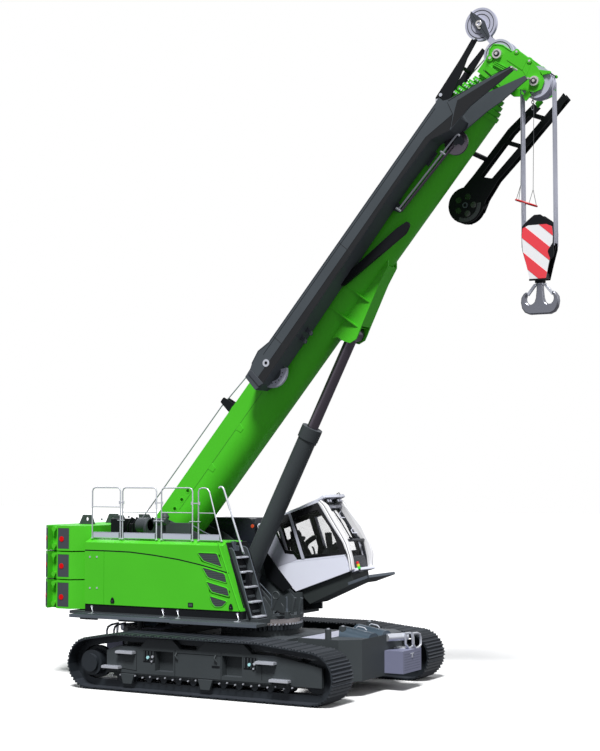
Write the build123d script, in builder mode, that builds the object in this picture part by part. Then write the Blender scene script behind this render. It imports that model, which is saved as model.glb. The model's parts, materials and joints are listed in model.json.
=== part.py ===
"""Crawler crane with a telescopic boom, built as separate named pieces.

Millimetres, +Z up.  X points forward (towards the boom head), Y to the left
(the cab side).  The origin is on the slewing axis at ground level.
The crane is modelled as it stands parked, with the boom raised to BOOM_ANGLE.
"""
import os
from math import acos, atan2, cos, degrees, hypot, radians, sin

from build123d import *

os.makedirs("parts", exist_ok=True)

# ---------------------------------------------------------------- driving sizes
# Tracks
TRACK_GAUGE = 4120
SHOE_WIDTH = 800
SHOE_PITCH = 203
SHOE_THICK = 16
GROUSER_HEIGHT = 30
GROUSER_HALF = 13
CHAIN_WIDTH = 250
CHAIN_DEPTH = 130
LINKS_ROUND_END = 8       # the chain's links stay straight as they turn round an end wheel
END_RADIUS = 500          # over the grousers, round sprocket and idler
END_X = 2482              # sprocket and idler centres, fore and aft
TOP_RUN_Z = 1110          # over the grousers, between the carrier skids
TOP_RUN_FRONT = 1350
TOP_RUN_REAR = -1850

# Lower works
FRAME_HALF_WIDTH = 240    # half the width of a track frame
BEAM_X = 780              # cross beams, fore and aft of the slewing axis
BEAM_HALF = 200
CARBODY_TOP = 1000
GEAR_TEETH = 60
GEAR_TIP_RADIUS = 870
GEAR_ROOT_RADIUS = 832
GEAR_BORE_RADIUS = 700
GEAR_BOTTOM = 1120
GEAR_TOP = 1215

# Upper works
DECK_BOTTOM = 1340
DECK_TOP = 1400
DECK_REAR = -3690
DECK_FRONT = 550
FLANGE_RADIUS = 880       # round front of the deck over the slewing ring
HOUSE_SIDE = 1500         # half the width of the upper works
HOUSE_REAR = -3293
HOUSE_BOTTOM = 1555
HOUSE_TOP = 2884
HOUSE_INNER = 760
CATWALK_OUTER = 1880      # the catwalk stands out beside the right-hand house
PLATE_INNER = 450         # inner faces of the two main plates
PLATE_THICK = 40

# Boom, in its own frame: "along" runs up the boom, "rise" stands square to it
BOOM_ANGLE = 50.2
BOOM_PIVOT_X = -2300
BOOM_PIVOT_Z = 3000
SECTION_CENTRE = -250     # centre of the half-round belly, above the pivot line
SECTION_TOP = 437         # flat top of the base section, above that centre
BASE_START = 120
BASE_END = 10900
BASE_HALF_WIDTH = 430
FOOT_LUG_OUTER = 420
SECTION_STEP = 37         # each inner section is this much smaller all round
SECTION_WALL = 12
COLLAR_STEP = 105         # each inner section stands out by this much
COLLAR_LENGTH = 80
COLLAR_PROUD = 22         # how far a collar stands out all round its section
SECTION_COUNT = 5

# Boom head
AXLE_ALONG = 11885        # both head axles stand at the same place along the boom
LOWER_AXLE_RISE = -1027
UPPER_AXLE_RISE = -74
AXLE_RADIUS = 60
SHEAVE_RADIUS = 300
SHEAVE_WIDTH = 84
SHEAVE_GROOVE = 38
HEAD_INNER = 300          # inner faces of the head plates
HEAD_OUTER = 330
NOSE_ALONG = 12141
NOSE_RISE = 735
NOSE_RADIUS = 320
FALLS_Y = -140            # middle of the rope falls and the hook block
FALLS_HALF = 95           # the near and far ropes stand this far each side of that middle

# Luffing cylinder
ROD_PIN_ALONG = 5895
ROD_PIN_RISE = -869
CYLINDER_ANGLE = 63.2
CYLINDER_LENGTH = 5430    # between its two eyes, as parked
TUBE_LENGTH = 3360
TUBE_RADIUS = 190
ROD_RADIUS = 115
ROD_START = 1790          # inner end of the rod, from the foot eye

# Cab, in its own frame: "fore" and "up" from the lower rear corner
CAB_TILT = 19.8
CAB_X = 530
CAB_Z = 1810
CAB_RIGHT = 530
CAB_LEFT = 1450
CAB_WALL = 45


# ---------------------------------------------------------------- helpers
def add_plate(points, y_low, y_high, frame=Plane.XZ, mode=Mode.ADD):
    """Extrude a closed outline, drawn on a plane facing -Y, from y_low to y_high."""
    with BuildSketch(frame.offset(-y_high)) as outline:
        with BuildLine():
            Polyline(*points, close=True)
        make_face()
    extrude(outline.sketch, amount=y_high - y_low, mode=mode)


def add_box(x_range, y_range, z_range, mode=Mode.ADD):
    """Box between two corners given as ranges."""
    middle = [(low + high) / 2 for low, high in (x_range, y_range, z_range)]
    size = [high - low for low, high in (x_range, y_range, z_range)]
    with Locations(tuple(middle)):
        Box(*size, mode=mode)


def add_disc(centre, radius, y_low, y_high, frame=Plane.XZ, mode=Mode.ADD, bore=0, sides=0):
    """Cylinder along Y centred on a point of the frame, with flat sides if a number is given."""
    with BuildSketch(frame.offset(-y_high)) as outline:
        with Locations(centre):
            if sides:
                RegularPolygon(radius, sides)
            else:
                Circle(radius)
            if bore:
                Circle(bore, mode=Mode.SUBTRACT)
    extrude(outline.sketch, amount=y_high - y_low, mode=mode)


def add_sheave(centre, radius, y_middle, frame=Plane.XZ, bore=0):
    """Sheave with a rope groove round its rim, turning about Y."""
    half = SHEAVE_WIDTH / 2
    middle = frame.offset(-y_middle)
    hub = middle.from_local_coords((centre[0], centre[1], 0))
    with BuildSketch(Plane(origin=hub, x_dir=middle.x_dir, z_dir=middle.y_dir)) as profile:
        with BuildLine():
            Polyline((bore, -half), (radius, -half), (radius - SHEAVE_GROOVE, 0), (radius, half), (bore, half),
                     close=True)
        make_face()
    revolve(profile.sketch, axis=Axis(hub, middle.z_dir))


def save(piece, name):
    """Label a finished piece and write its STEP file."""
    piece.part.label = name
    export_step(piece.part, f"parts/{name}.step")


def turned(x, z, angle):
    """Plane facing -Y whose first axis points up at an angle from X."""
    slope = radians(angle)
    return Plane(origin=(x, 0, z), x_dir=(cos(slope), 0, sin(slope)), z_dir=(0, -1, 0))


def between(side, near, far):
    """Low and high Y of a slab between two distances from the middle, on one side."""
    return (side * near, side * far) if side > 0 else (side * far, side * near)


BOOM = turned(BOOM_PIVOT_X, BOOM_PIVOT_Z, BOOM_ANGLE)
CAB = turned(CAB_X, CAB_Z, CAB_TILT)
SIDES = {"right": -1, "left": 1}


def boom_point(along, rise, y=0):
    """Row coordinates of a point given in the boom's frame."""
    slope = radians(BOOM_ANGLE)
    x = BOOM_PIVOT_X + along * cos(slope) - rise * sin(slope)
    z = BOOM_PIVOT_Z + along * sin(slope) + rise * cos(slope)
    return (x, y, z)


def boom_section(along):
    """Plane square to the boom, with Y and rise as its axes."""
    slope = radians(BOOM_ANGLE)
    return Plane(origin=boom_point(along, 0), x_dir=(0, 1, 0), z_dir=(cos(slope), 0, sin(slope)))


# ---------------------------------------------------------------- track loops
def tangent_angle(corner_x):
    """Angle, about the end wheel's centre, where the sloping run leaves its arc."""
    centre_x = END_X if corner_x > 0 else -END_X
    run, climb = corner_x - centre_x, TOP_RUN_Z - END_RADIUS
    reach = degrees(atan2(climb, run))
    opening = degrees(acos(END_RADIUS / hypot(run, climb)))
    return reach - opening if corner_x > 0 else reach + opening


FRONT_LEAVE = tangent_angle(TOP_RUN_FRONT)
REAR_LEAVE = tangent_angle(TOP_RUN_REAR)


def on_arc(centre_x, radius, angle):
    """Point of an end arc."""
    return (centre_x + radius * cos(radians(angle)), END_RADIUS + radius * sin(radians(angle)))


def top_corner(centre_x, depth, angle):
    """Where a sloping run meets the top run, a given depth inside the grouser tips."""
    rise = TOP_RUN_Z - depth - END_RADIUS
    x = centre_x + (END_RADIUS - depth - rise * sin(radians(angle))) / cos(radians(angle))
    return (x, TOP_RUN_Z - depth)


def add_loop(depth, mode=Mode.ADD):
    """Face of the loop as a chain of straight links, a given depth inside the grouser tips."""
    radius = END_RADIUS - depth
    corners = []
    for link in range(LINKS_ROUND_END + 1):
        corners.append(on_arc(END_X, radius, -90 + (FRONT_LEAVE + 90) * link / LINKS_ROUND_END))
    corners.append(top_corner(END_X, depth, FRONT_LEAVE))
    corners.append(top_corner(-END_X, depth, REAR_LEAVE))
    for link in range(LINKS_ROUND_END + 1):
        corners.append(on_arc(-END_X, radius, REAR_LEAVE + (270 - REAR_LEAVE) * link / LINKS_ROUND_END))
    with BuildLine() as outline:
        Polyline(*corners, close=True)
    make_face(outline.edges(), mode=mode)


def loop_pieces(depth):
    """The loop as (start, heading, length, turning radius) pieces, from the rear bottom."""
    radius = END_RADIUS - depth
    front_top = top_corner(END_X, depth, FRONT_LEAVE)
    rear_top = top_corner(-END_X, depth, REAR_LEAVE)
    leave = on_arc(END_X, radius, FRONT_LEAVE)
    arrive = on_arc(-END_X, radius, REAR_LEAVE)
    return [
        ((-END_X, depth), 0, 2 * END_X, 0),
        ((END_X, depth), 0, radius * radians(FRONT_LEAVE + 90), radius),
        (leave, FRONT_LEAVE + 90, hypot(leave[0] - front_top[0], leave[1] - front_top[1]), 0),
        (front_top, 180, front_top[0] - rear_top[0], 0),
        (rear_top, REAR_LEAVE + 90, hypot(arrive[0] - rear_top[0], arrive[1] - rear_top[1]), 0),
        (arrive, REAR_LEAVE + 90, radius * radians(270 - REAR_LEAVE), radius),
    ]


def place_on_loop(pieces, distance, ahead, out):
    """Point a little ahead of, and outside, the place at a distance round the loop."""
    for start, heading, length, radius in pieces:
        if distance <= length:
            break
        distance -= length
    angle = radians(heading)
    x, z = start
    if radius:
        turn = distance / radius
        x += radius * (sin(angle + turn) - sin(angle))
        z += radius * (cos(angle) - cos(angle + turn))
        angle += turn
    else:
        x += distance * cos(angle)
        z += distance * sin(angle)
    return (
        x + ahead * cos(angle) + out * sin(angle),
        z + ahead * sin(angle) - out * cos(angle),
    )


def shoe_outline():
    """Outline of the whole loop over its shoes, three grousers to each."""
    pieces = loop_pieces(GROUSER_HEIGHT)
    around = sum(piece[2] for piece in pieces)
    count = round(around / SHOE_PITCH)
    pitch = around / count
    points = []
    for shoe in range(count):
        middle = (shoe + 0.5) * pitch
        points.append(place_on_loop(pieces, middle, -pitch / 3 - GROUSER_HALF, 0))
        for row in (-1, 0, 1):
            if row > -1:
                points.append(place_on_loop(pieces, middle, (row - 0.5) * pitch / 3, 0))
            points.append(place_on_loop(pieces, middle, row * pitch / 3, GROUSER_HEIGHT))
        points.append(place_on_loop(pieces, middle, pitch / 3 + GROUSER_HALF, 0))
        points.append(place_on_loop(pieces, (shoe + 1) * pitch - 0.001, 0, -SHOE_THICK / 2))
    return points


for side_name, side in SIDES.items():
    middle = side * TRACK_GAUGE / 2
    with BuildPart() as track:
        with BuildSketch(Plane.XZ.offset(-(middle + SHOE_WIDTH / 2))):
            with BuildLine():
                Polyline(*shoe_outline(), close=True)
            make_face()
            add_loop(GROUSER_HEIGHT + SHOE_THICK, Mode.SUBTRACT)
        extrude(amount=SHOE_WIDTH)
        with BuildSketch(Plane.XZ.offset(-(middle + CHAIN_WIDTH / 2))):
            add_loop(GROUSER_HEIGHT + SHOE_THICK)
            add_loop(GROUSER_HEIGHT + SHOE_THICK + CHAIN_DEPTH, Mode.SUBTRACT)
        extrude(amount=CHAIN_WIDTH)
    save(track, f"track_{side_name}")


# ---------------------------------------------------------------- track frames and wheels
FRAME_TOP = 860
FRAME_BOTTOM = 330
FRAME_REAR = -2130
FRAME_BOX_FRONT = 2060
FRAME_FRONT = 2660
FORK_GAP = 150            # the fork's plates stand this far each side of the middle
SKIRT_THICK = 30
SKIRT_BOTTOM = 262
ROLLER_RADIUS = 75
ROLLER_SIDES = 14
ROLLER_COUNT = 12
WHEEL_RADIUS = 312
WHEEL_SIDES = 30
HUB_RADIUS = 245
HUB_CAP_RADIUS = 175
ROLLER_PITCH = 340
WHEEL_Z = END_RADIUS
CHAIN_TOP = GROUSER_HEIGHT + SHOE_THICK + CHAIN_DEPTH
SKID_X = (-1100, 0, 900)
POCKET_DEPTH = 170
# Pockets in the outer face where the cross beams come through, as (rear, front)
POCKETS = ((-990, -570), (530, 970))
POCKET_Z = (420, 800)
# Humps over the cross beams, as (rear, front)
HUMPS = ((-1340, -410), (-30, 1190))
HUMP_TOP = 1030

FRAME_OUTLINE = [
    (FRAME_REAR, FRAME_BOTTOM),
    (FRAME_BOX_FRONT, FRAME_BOTTOM),
    (FRAME_BOX_FRONT, 800),
    (1650, FRAME_TOP),
    (-1850, FRAME_TOP),
    (FRAME_REAR, 760),
]
FORK_OUTLINE = [
    (FRAME_BOX_FRONT, FRAME_BOTTOM),
    (FRAME_FRONT, FRAME_BOTTOM),
    (FRAME_FRONT, 690),
    (FRAME_BOX_FRONT, 800),
]
DRIVE_PLATE = [(-2620, 360), (FRAME_REAR, FRAME_BOTTOM), (FRAME_REAR, 760), (-2620, 640)]

for side_name, side in SIDES.items():
    middle = side * TRACK_GAUGE / 2
    with BuildPart() as frame:
        add_plate(FRAME_OUTLINE, middle - FRAME_HALF_WIDTH, middle + FRAME_HALF_WIDTH)
        for outward in (-1, 1):
            low, high = between(outward, FORK_GAP, FRAME_HALF_WIDTH)
            add_plate(FORK_OUTLINE, middle + low, middle + high)
            low, high = between(outward, FORK_GAP, FORK_GAP + SKIRT_THICK)
            add_box((-2000, 1950), (middle + low, middle + high), (SKIRT_BOTTOM, FRAME_BOTTOM))
        low, high = between(-side, FORK_GAP, FRAME_HALF_WIDTH)
        add_plate(DRIVE_PLATE, middle + low, middle + high)
        low, high = between(side, FRAME_HALF_WIDTH - POCKET_DEPTH, FRAME_HALF_WIDTH)
        for pocket in POCKETS:
            add_box(pocket, (middle + low, middle + high), POCKET_Z, mode=Mode.SUBTRACT)
        low, high = between(side, FORK_GAP, FRAME_HALF_WIDTH)
        for rear, front in HUMPS:
            add_plate([(rear, FRAME_TOP), (front, FRAME_TOP), (front - 190, HUMP_TOP), (rear + 190, HUMP_TOP)],
                      middle + low, middle + high)
        for skid_x in SKID_X:
            low, high = middle - 100, middle + 100
            add_box((skid_x - 130, skid_x + 130), (low, high), (FRAME_TOP, TOP_RUN_Z - CHAIN_TOP - 4))
    save(frame, f"track_frame_{side_name}")

    with BuildPart() as wheels:
        # Idler in its fork
        add_disc((END_X, WHEEL_Z), WHEEL_RADIUS, middle - 60, middle + 60, sides=WHEEL_SIDES)
        add_disc((END_X, WHEEL_Z), 90, middle - FORK_GAP, middle + FORK_GAP, sides=ROLLER_SIDES)
        # Sprocket and its stepped hub
        add_disc((-END_X, WHEEL_Z), WHEEL_RADIUS, middle - 50, middle + 50, sides=WHEEL_SIDES)
        low, high = between(side, -FORK_GAP, 270)
        add_disc((-END_X, WHEEL_Z), HUB_RADIUS, middle + low, middle + high)
        low, high = between(side, 270, 330)
        add_disc((-END_X, WHEEL_Z), HUB_CAP_RADIUS, middle + low, middle + high)
        # Bottom rollers, seated in the frame's skirts
        with BuildSketch(Plane.XZ.offset(-(middle + FORK_GAP))) as rollers:
            with GridLocations(ROLLER_PITCH, 0, ROLLER_COUNT, 1):
                with Locations((0, CHAIN_TOP + ROLLER_RADIUS + 2)):
                    RegularPolygon(ROLLER_RADIUS, ROLLER_SIDES)
        extrude(rollers.sketch, amount=2 * FORK_GAP)
    save(wheels, f"track_wheels_{side_name}")


# ---------------------------------------------------------------- carbody
CARBODY_HALF_X = 1150
CARBODY_HALF_Y = 1250
BALLAST_ARM_HALF = 700    # the arms that carry the ballast blocks
BALLAST_NEAR = 1550
BALLAST_FAR = 2750
BALLAST_HALF = 1200
BALLAST_BOTTOM = 300
BALLAST_TOP = 1080
BALLAST_CORNER = 330

with BuildPart() as carbody:
    add_box((-CARBODY_HALF_X, CARBODY_HALF_X), (-CARBODY_HALF_Y, CARBODY_HALF_Y), (480, CARBODY_TOP))
    beam_end = TRACK_GAUGE / 2 - FRAME_HALF_WIDTH
    for beam_x in (-BEAM_X, BEAM_X):
        beam = (beam_x - BEAM_HALF, beam_x + BEAM_HALF)
        add_box(beam, (-beam_end, beam_end), (430, 860))
    for end in (-1, 1):
        x_low, x_high = between(end, CARBODY_HALF_X, BALLAST_NEAR)
        add_box((x_low, x_high), (-BALLAST_ARM_HALF, BALLAST_ARM_HALF), (520, 940))
    with BuildSketch(Plane.XY.offset(CARBODY_TOP)):
        Circle(GEAR_ROOT_RADIUS - 40)
    extrude(amount=GEAR_BOTTOM - CARBODY_TOP)
save(carbody, "carbody")

with BuildPart() as gear:
    pitch = 360 / GEAR_TEETH
    outline = []
    for tooth in range(GEAR_TEETH):
        for radius, share in ((GEAR_ROOT_RADIUS, -0.42), (GEAR_TIP_RADIUS, -0.16), (GEAR_TIP_RADIUS, 0.16),
                              (GEAR_ROOT_RADIUS, 0.42)):
            angle = radians((tooth + share) * pitch)
            outline.append((radius * cos(angle), radius * sin(angle)))
    with BuildSketch(Plane.XY.offset(GEAR_BOTTOM)):
        with BuildLine():
            Polyline(*outline, close=True)
        make_face()
        Circle(GEAR_BORE_RADIUS, mode=Mode.SUBTRACT)
    extrude(amount=GEAR_TOP - GEAR_BOTTOM)
save(gear, "slewing_gear")


def ballast_plan(end):
    """Plan of a ballast block with cut corners, at the front (1) or rear (-1)."""
    near, far, corner = end * BALLAST_NEAR, end * BALLAST_FAR, end * (BALLAST_FAR - BALLAST_CORNER)
    inset = BALLAST_HALF - BALLAST_CORNER
    return [
        (near, -BALLAST_HALF),
        (corner, -BALLAST_HALF),
        (far, -inset),
        (far, inset),
        (corner, BALLAST_HALF),
        (near, BALLAST_HALF),
    ]


for end_name, end in {"front": 1, "rear": -1}.items():
    with BuildPart() as ballast:
        with BuildSketch(Plane.XY.offset(BALLAST_BOTTOM)):
            with BuildLine():
                Polyline(*ballast_plan(end), close=True)
            make_face()
        extrude(amount=BALLAST_TOP - BALLAST_BOTTOM)
    save(ballast, f"{end_name}_ballast")

# Tool boxes and hand loops stand at opposite corners, front left and rear right
with BuildPart() as steps:
    for end in (-1, 1):
        x_low, x_high = between(end, BALLAST_FAR, BALLAST_FAR + 400)
        y_low, y_high = between(end, 90, 920)
        add_box((x_low, x_high), (y_low, y_high), (350, 780))
save(steps, "tool_boxes")

with BuildPart() as treads:
    for side in (-1, 1):
        outer = TRACK_GAUGE / 2 + FRAME_HALF_WIDTH
        for tread_x, tread_z in ((-1640, 770), (-1970, 470), (1520, 750), (1820, 440)):
            y_low, y_high = between(side, outer, outer + 130)
            add_box((tread_x - 200, tread_x + 200), (y_low, y_high), (tread_z - 45, tread_z))
save(treads, "step_treads")


# ---------------------------------------------------------------- upper works
with BuildPart() as race:
    with BuildSketch(Plane.XY.offset(GEAR_TOP + 5)):
        Circle(800)
        Circle(GEAR_BORE_RADIUS - 40, mode=Mode.SUBTRACT)
    extrude(amount=DECK_BOTTOM - GEAR_TOP - 5)
save(race, "slew_race")

# Main plates carry the winch, the boom foot and the cylinder
MAIN_PLATE = [
    (-3200, DECK_TOP),
    (-3280, 2900),
    (-3340, 3330),
    (-3080, 3330),
    (-2950, 3120),
    (-2700, 3260),
    (-1980, 3270),
    (-1170, 2980),
    (-100, 2330),
    (520, 1700),
    (560, DECK_TOP),
]
FOOT_PIN_RADIUS = 90
FOOT_STUB = 14            # the foot pin's stubs stand out from the plates by this much
LIFTING_EYE = (-4010, 3240)
LIFTING_EYE_RADIUS = 40
SLOPE = radians(CYLINDER_ANGLE)
ROD_PIN = boom_point(ROD_PIN_ALONG, ROD_PIN_RISE)
TUBE_PIN = (ROD_PIN[0] - CYLINDER_LENGTH * cos(SLOPE), 0, ROD_PIN[2] - CYLINDER_LENGTH * sin(SLOPE))

with BuildPart() as upper_frame:
    add_box((DECK_REAR, DECK_FRONT), (-HOUSE_SIDE + 20, HOUSE_SIDE - 20), (DECK_BOTTOM, DECK_TOP))
    with BuildSketch(Plane.XY.offset(DECK_BOTTOM)):
        Circle(FLANGE_RADIUS)
    extrude(amount=DECK_TOP - DECK_BOTTOM)
    add_box((-3390, 1030), (-CATWALK_OUTER, -HOUSE_SIDE + 30), (DECK_BOTTOM - 35, DECK_BOTTOM + 20))
save(upper_frame, "upper_frame")

with BuildPart() as main_plates:
    for side in (-1, 1):
        y_low, y_high = between(side, PLATE_INNER, PLATE_INNER + PLATE_THICK)
        add_plate(MAIN_PLATE, y_low, y_high)
        # Boom foot pin stubs, and stubs where the cylinder's foot stands
        y_low, y_high = between(side, PLATE_INNER - FOOT_STUB, PLATE_INNER)
        add_disc((BOOM_PIVOT_X, BOOM_PIVOT_Z), FOOT_PIN_RADIUS, y_low, y_high)
        y_low, y_high = between(side, 215, PLATE_INNER)
        add_disc((TUBE_PIN[0], TUBE_PIN[2]), 70, y_low, y_high, sides=20)
save(main_plates, "main_plates")

with BuildPart() as sill:
    for side in (-1, 1):
        y_low, y_high = between(side, HOUSE_INNER, HOUSE_SIDE - 20)
        front = 480 if side < 0 else -1750
        add_box((HOUSE_REAR, front), (y_low, y_high), (DECK_TOP, HOUSE_BOTTOM))
save(sill, "house_sill")

HOUSE_END = [(HOUSE_REAR, HOUSE_BOTTOM), (457, HOUSE_BOTTOM), (20, HOUSE_TOP), (HOUSE_REAR, HOUSE_TOP)]
GRILLE_DEPTH = 30
GRILLES = (
    [(-534, 2640), (-24, 2633), (22, 2397), (-463, 2480)],
    [(-416, 2384), (115, 2226), (138, 2072), (-346, 2192)],
    [(-299, 2096), (207, 1940), (207, 1786), (-275, 1883)],
    [(-275, 1845), (139, 1726), (-21, 1623)],
)
# Dark creases in the right-hand wall: one falling forward, one upright
CREASE = [
    (HOUSE_REAR, 2648),
    (-2700, 2646),
    (-2165, 2637),
    (-1600, 2590),
    (-1000, 2520),
    (-487, 2432),
    (183, 2286),
]
CREASE_WIDTH = 14
CREASE_DEPTH = 10
SEAM_X = -2807
with BuildPart() as house:
    add_plate(HOUSE_END, -HOUSE_SIDE, -HOUSE_INNER)
    top_edge = house.edges().filter_by(Axis.X).group_by(Axis.Z)[-1].sort_by(Axis.Y)[0]
    chamfer(top_edge, length=200, length2=80)
    for grille in GRILLES:
        add_plate(grille, -HOUSE_SIDE, -HOUSE_SIDE + GRILLE_DEPTH, mode=Mode.SUBTRACT)
    lower_edge = [(x, z - CREASE_WIDTH) for x, z in reversed(CREASE)]
    add_plate(CREASE + lower_edge, -HOUSE_SIDE, -HOUSE_SIDE + CREASE_DEPTH, mode=Mode.SUBTRACT)
    add_box((SEAM_X - 6, SEAM_X + 6), (-HOUSE_SIDE, -HOUSE_SIDE + CREASE_DEPTH), (HOUSE_BOTTOM, 2640),
            mode=Mode.SUBTRACT)
save(house, "house_right")

with BuildPart() as left_house:
    add_box((HOUSE_REAR, -1750), (HOUSE_INNER, HOUSE_SIDE), (HOUSE_BOTTOM, HOUSE_TOP))
save(left_house, "house_left")

with BuildPart() as tank:
    add_box((-1660, -500), (HOUSE_INNER - 160, HOUSE_SIDE - 50), (DECK_TOP, 3280))
    fillet(tank.edges().filter_by(Axis.X).group_by(Axis.Z)[-1], radius=100)
save(tank, "left_tank")

# Counterweight slabs
SLAB_PLAN = [
    (-3330, -1200),
    (-3680, -1500),
    (-4020, -1500),
    (-4020, -1330),
    (-4250, -1330),
    (-4250, -1500),
    (-4500, -1250),
    (-4550, -1150),
]
SLABS = (("lower", DECK_TOP, 2010), ("middle", 2010, 2590), ("upper", 2590, 3130))
SLAB_JOINT = 25
PANEL_DEPTH = 15          # the slabs' side panels lie back by this much
for slab_name, slab_low, slab_high in SLABS:
    with BuildPart() as slab:
        with BuildSketch(Plane.XY.offset(slab_low + SLAB_JOINT)):
            with BuildLine():
                far_side = [(x, -y) for x, y in reversed(SLAB_PLAN)]
                Polyline(*SLAB_PLAN, *far_side, close=True)
            make_face()
        extrude(amount=slab_high - slab_low - SLAB_JOINT)
        add_box((-4400, -3400), (-1100, 1100), (slab_low, slab_low + SLAB_JOINT))
        for side in (-1, 1):
            panel = between(side, HOUSE_SIDE - PANEL_DEPTH, HOUSE_SIDE)
            add_box((-3995, -3705), panel, (slab_low + 65, slab_high - 50), mode=Mode.SUBTRACT)
            # Lifting bosses in the notch, near the bottom and the top of each slab
            y_low, y_high = between(side, 1330, 1440)
            for boss_z in (slab_low + 120, slab_high - 75):
                add_disc((-4150, boss_z), 52, y_low, y_high, sides=14)
    save(slab, f"counterweight_{slab_name}")

# Lifting lugs stand on the counterweight, in line with the main plates
LUG_OUTLINE = [(-4220, 3130), (-3820, 3130), (-3900, 3330), (-4120, 3330)]
with BuildPart() as lugs:
    for side in (-1, 1):
        y_low, y_high = between(side, PLATE_INNER, PLATE_INNER + PLATE_THICK)
        add_plate(LUG_OUTLINE, y_low, y_high)
    add_disc(LIFTING_EYE, LIFTING_EYE_RADIUS, -600, 600, mode=Mode.SUBTRACT)
save(lugs, "counterweight_lugs")

# Rail frames along the roof's edge, each bent from one tube: (rear, front top, front foot, mid rail height)
RAIL_FRAMES = (
    (-3200, -2495, -2495, 3530),
    (-2440, -1608, -1608, 3430),
    (-1487, -746, -746, 3430),
    (-605, -371, -65, 3430),
)
RAIL_Y = -1380
RAIL_TOP = 3923
RAIL_TUBE = 34
RAIL_BEND = 110
KICK_PLATE_HEIGHT = 130
with BuildPart() as rails:
    for rear, front_top, front_foot, mid_z in RAIL_FRAMES:
        with BuildSketch(Plane.XZ.offset(-RAIL_Y - RAIL_TUBE / 2)) as outline:
            with BuildLine():
                Polyline((rear, HOUSE_TOP), (rear, RAIL_TOP), (front_top, RAIL_TOP), (front_foot, HOUSE_TOP),
                         close=True)
            make_face()
            fillet(outline.vertices().group_by(Axis.Z)[-1], radius=RAIL_BEND)
            offset(amount=-RAIL_TUBE, mode=Mode.SUBTRACT)
        extrude(outline.sketch, amount=RAIL_TUBE)
        mid_front = front_foot + (front_top - front_foot) * (mid_z - HOUSE_TOP) / (RAIL_TOP - HOUSE_TOP)
        add_box((rear, mid_front), (RAIL_Y - 12, RAIL_Y + 12), (mid_z - 12, mid_z + 12))
        kick_top = HOUSE_TOP + KICK_PLATE_HEIGHT
        add_box((rear + 25, front_top - 25), (RAIL_Y - 3, RAIL_Y + 3), (HOUSE_TOP, kick_top))
save(rails, "handrails")

WINCH = (-2960, 2800)
DRUM_RADIUS = 260
DRUM_FLANGE_RADIUS = 330
DRUM_SIDES = 36
with BuildPart() as winch:
    add_disc(WINCH, DRUM_RADIUS, -400, 400, sides=DRUM_SIDES)
    for side in (-1, 1):
        y_low, y_high = between(side, 400, 430)
        add_disc(WINCH, DRUM_FLANGE_RADIUS, y_low, y_high, sides=DRUM_SIDES)
        y_low, y_high = between(side, 430, PLATE_INNER)
        add_disc(WINCH, 120, y_low, y_high, sides=16)
save(winch, "main_winch")

# Ladder in front of the right-hand house, between two side plates
LADDER_PLATE = [(520, DECK_TOP), (750, DECK_TOP), (840, 1848), (590, 2630), (385, 2741), (110, 2720), (490, 1560)]
LADDER_Y = (-1340, -880)
LADDER_STEPS = 5
with BuildPart() as side_ladder:
    for y_low in (LADDER_Y[0], LADDER_Y[1] - 20):
        add_plate(LADDER_PLATE, y_low, y_low + 20)
    for step in range(LADDER_STEPS):
        share = (step + 0.5) / LADDER_STEPS
        x = 560 - 380 * share
        z = DECK_TOP + 1330 * share
        add_box((x, x + 180), LADDER_Y, (z - 15, z + 15))
    add_box((DECK_FRONT, 750), LADDER_Y, (DECK_BOTTOM, DECK_TOP))
save(side_ladder, "side_ladder")

TILT_X = 580
TILT_Z = 1740
with BuildPart() as cab_bracket:
    for y_low, y_high in ((540, 600), (1380, 1440)):
        add_plate([(-137, DECK_TOP), (660, DECK_TOP), (655, 1790), (560, 1800), (480, 1770), (-60, 2190),
                   (-135, 2262), (-210, 2384), (-282, 1950), (-90, 1731)], y_low, y_high)
    add_disc((TILT_X, TILT_Z), 45, 600, 620)
    add_disc((TILT_X, TILT_Z), 45, 1360, 1380)
save(cab_bracket, "cab_bracket")


# ---------------------------------------------------------------- cab
CAB_SIDE = [(0, 0), (1300, 0), (1320, 650), (1250, 1130), (1085, 1560), (-420, 1560), (-420, 650), (-370, 570)]
FRONT_WINDOW = [(410, 560), (1240, 375), (1262, 650), (1215, 1000), (1060, 1450), (410, 1460)]
REAR_WINDOW = [(-370, 650), (-345, 620), (330, 620), (330, 1460), (-370, 1460)]
with BuildPart() as cab_shell:
    add_plate(CAB_SIDE, CAB_RIGHT, CAB_LEFT, frame=CAB)
    with BuildSketch(CAB.offset(-(CAB_LEFT - CAB_WALL))):
        with BuildLine():
            Polyline(*CAB_SIDE, close=True)
        make_face()
        offset(amount=-CAB_WALL, mode=Mode.REPLACE)
    extrude(amount=CAB_LEFT - CAB_RIGHT - 2 * CAB_WALL, mode=Mode.SUBTRACT)
    # Side windows before and behind the pillar, rear window, windscreen
    for window in (FRONT_WINDOW, REAR_WINDOW):
        add_plate(window, CAB_RIGHT - 10, CAB_LEFT + 10, frame=CAB, mode=Mode.SUBTRACT)
    add_plate([(-430, 750), (-370, 750), (-370, 1400), (-430, 1400)],
              CAB_RIGHT + 120, CAB_LEFT - 120, frame=CAB, mode=Mode.SUBTRACT)
    add_plate([(1200, 120), (1400, 120), (1400, 1400), (1100, 1400), (1130, 1130), (1200, 650)],
              CAB_RIGHT + 70, CAB_LEFT - 70, frame=CAB, mode=Mode.SUBTRACT)
    # Doorway on the left
    add_plate([(430, 60), (1180, 60), (1220, 385), (430, 560)],
              CAB_LEFT - 60, CAB_LEFT + 10, frame=CAB, mode=Mode.SUBTRACT)
save(cab_shell, "cab_shell")

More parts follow.
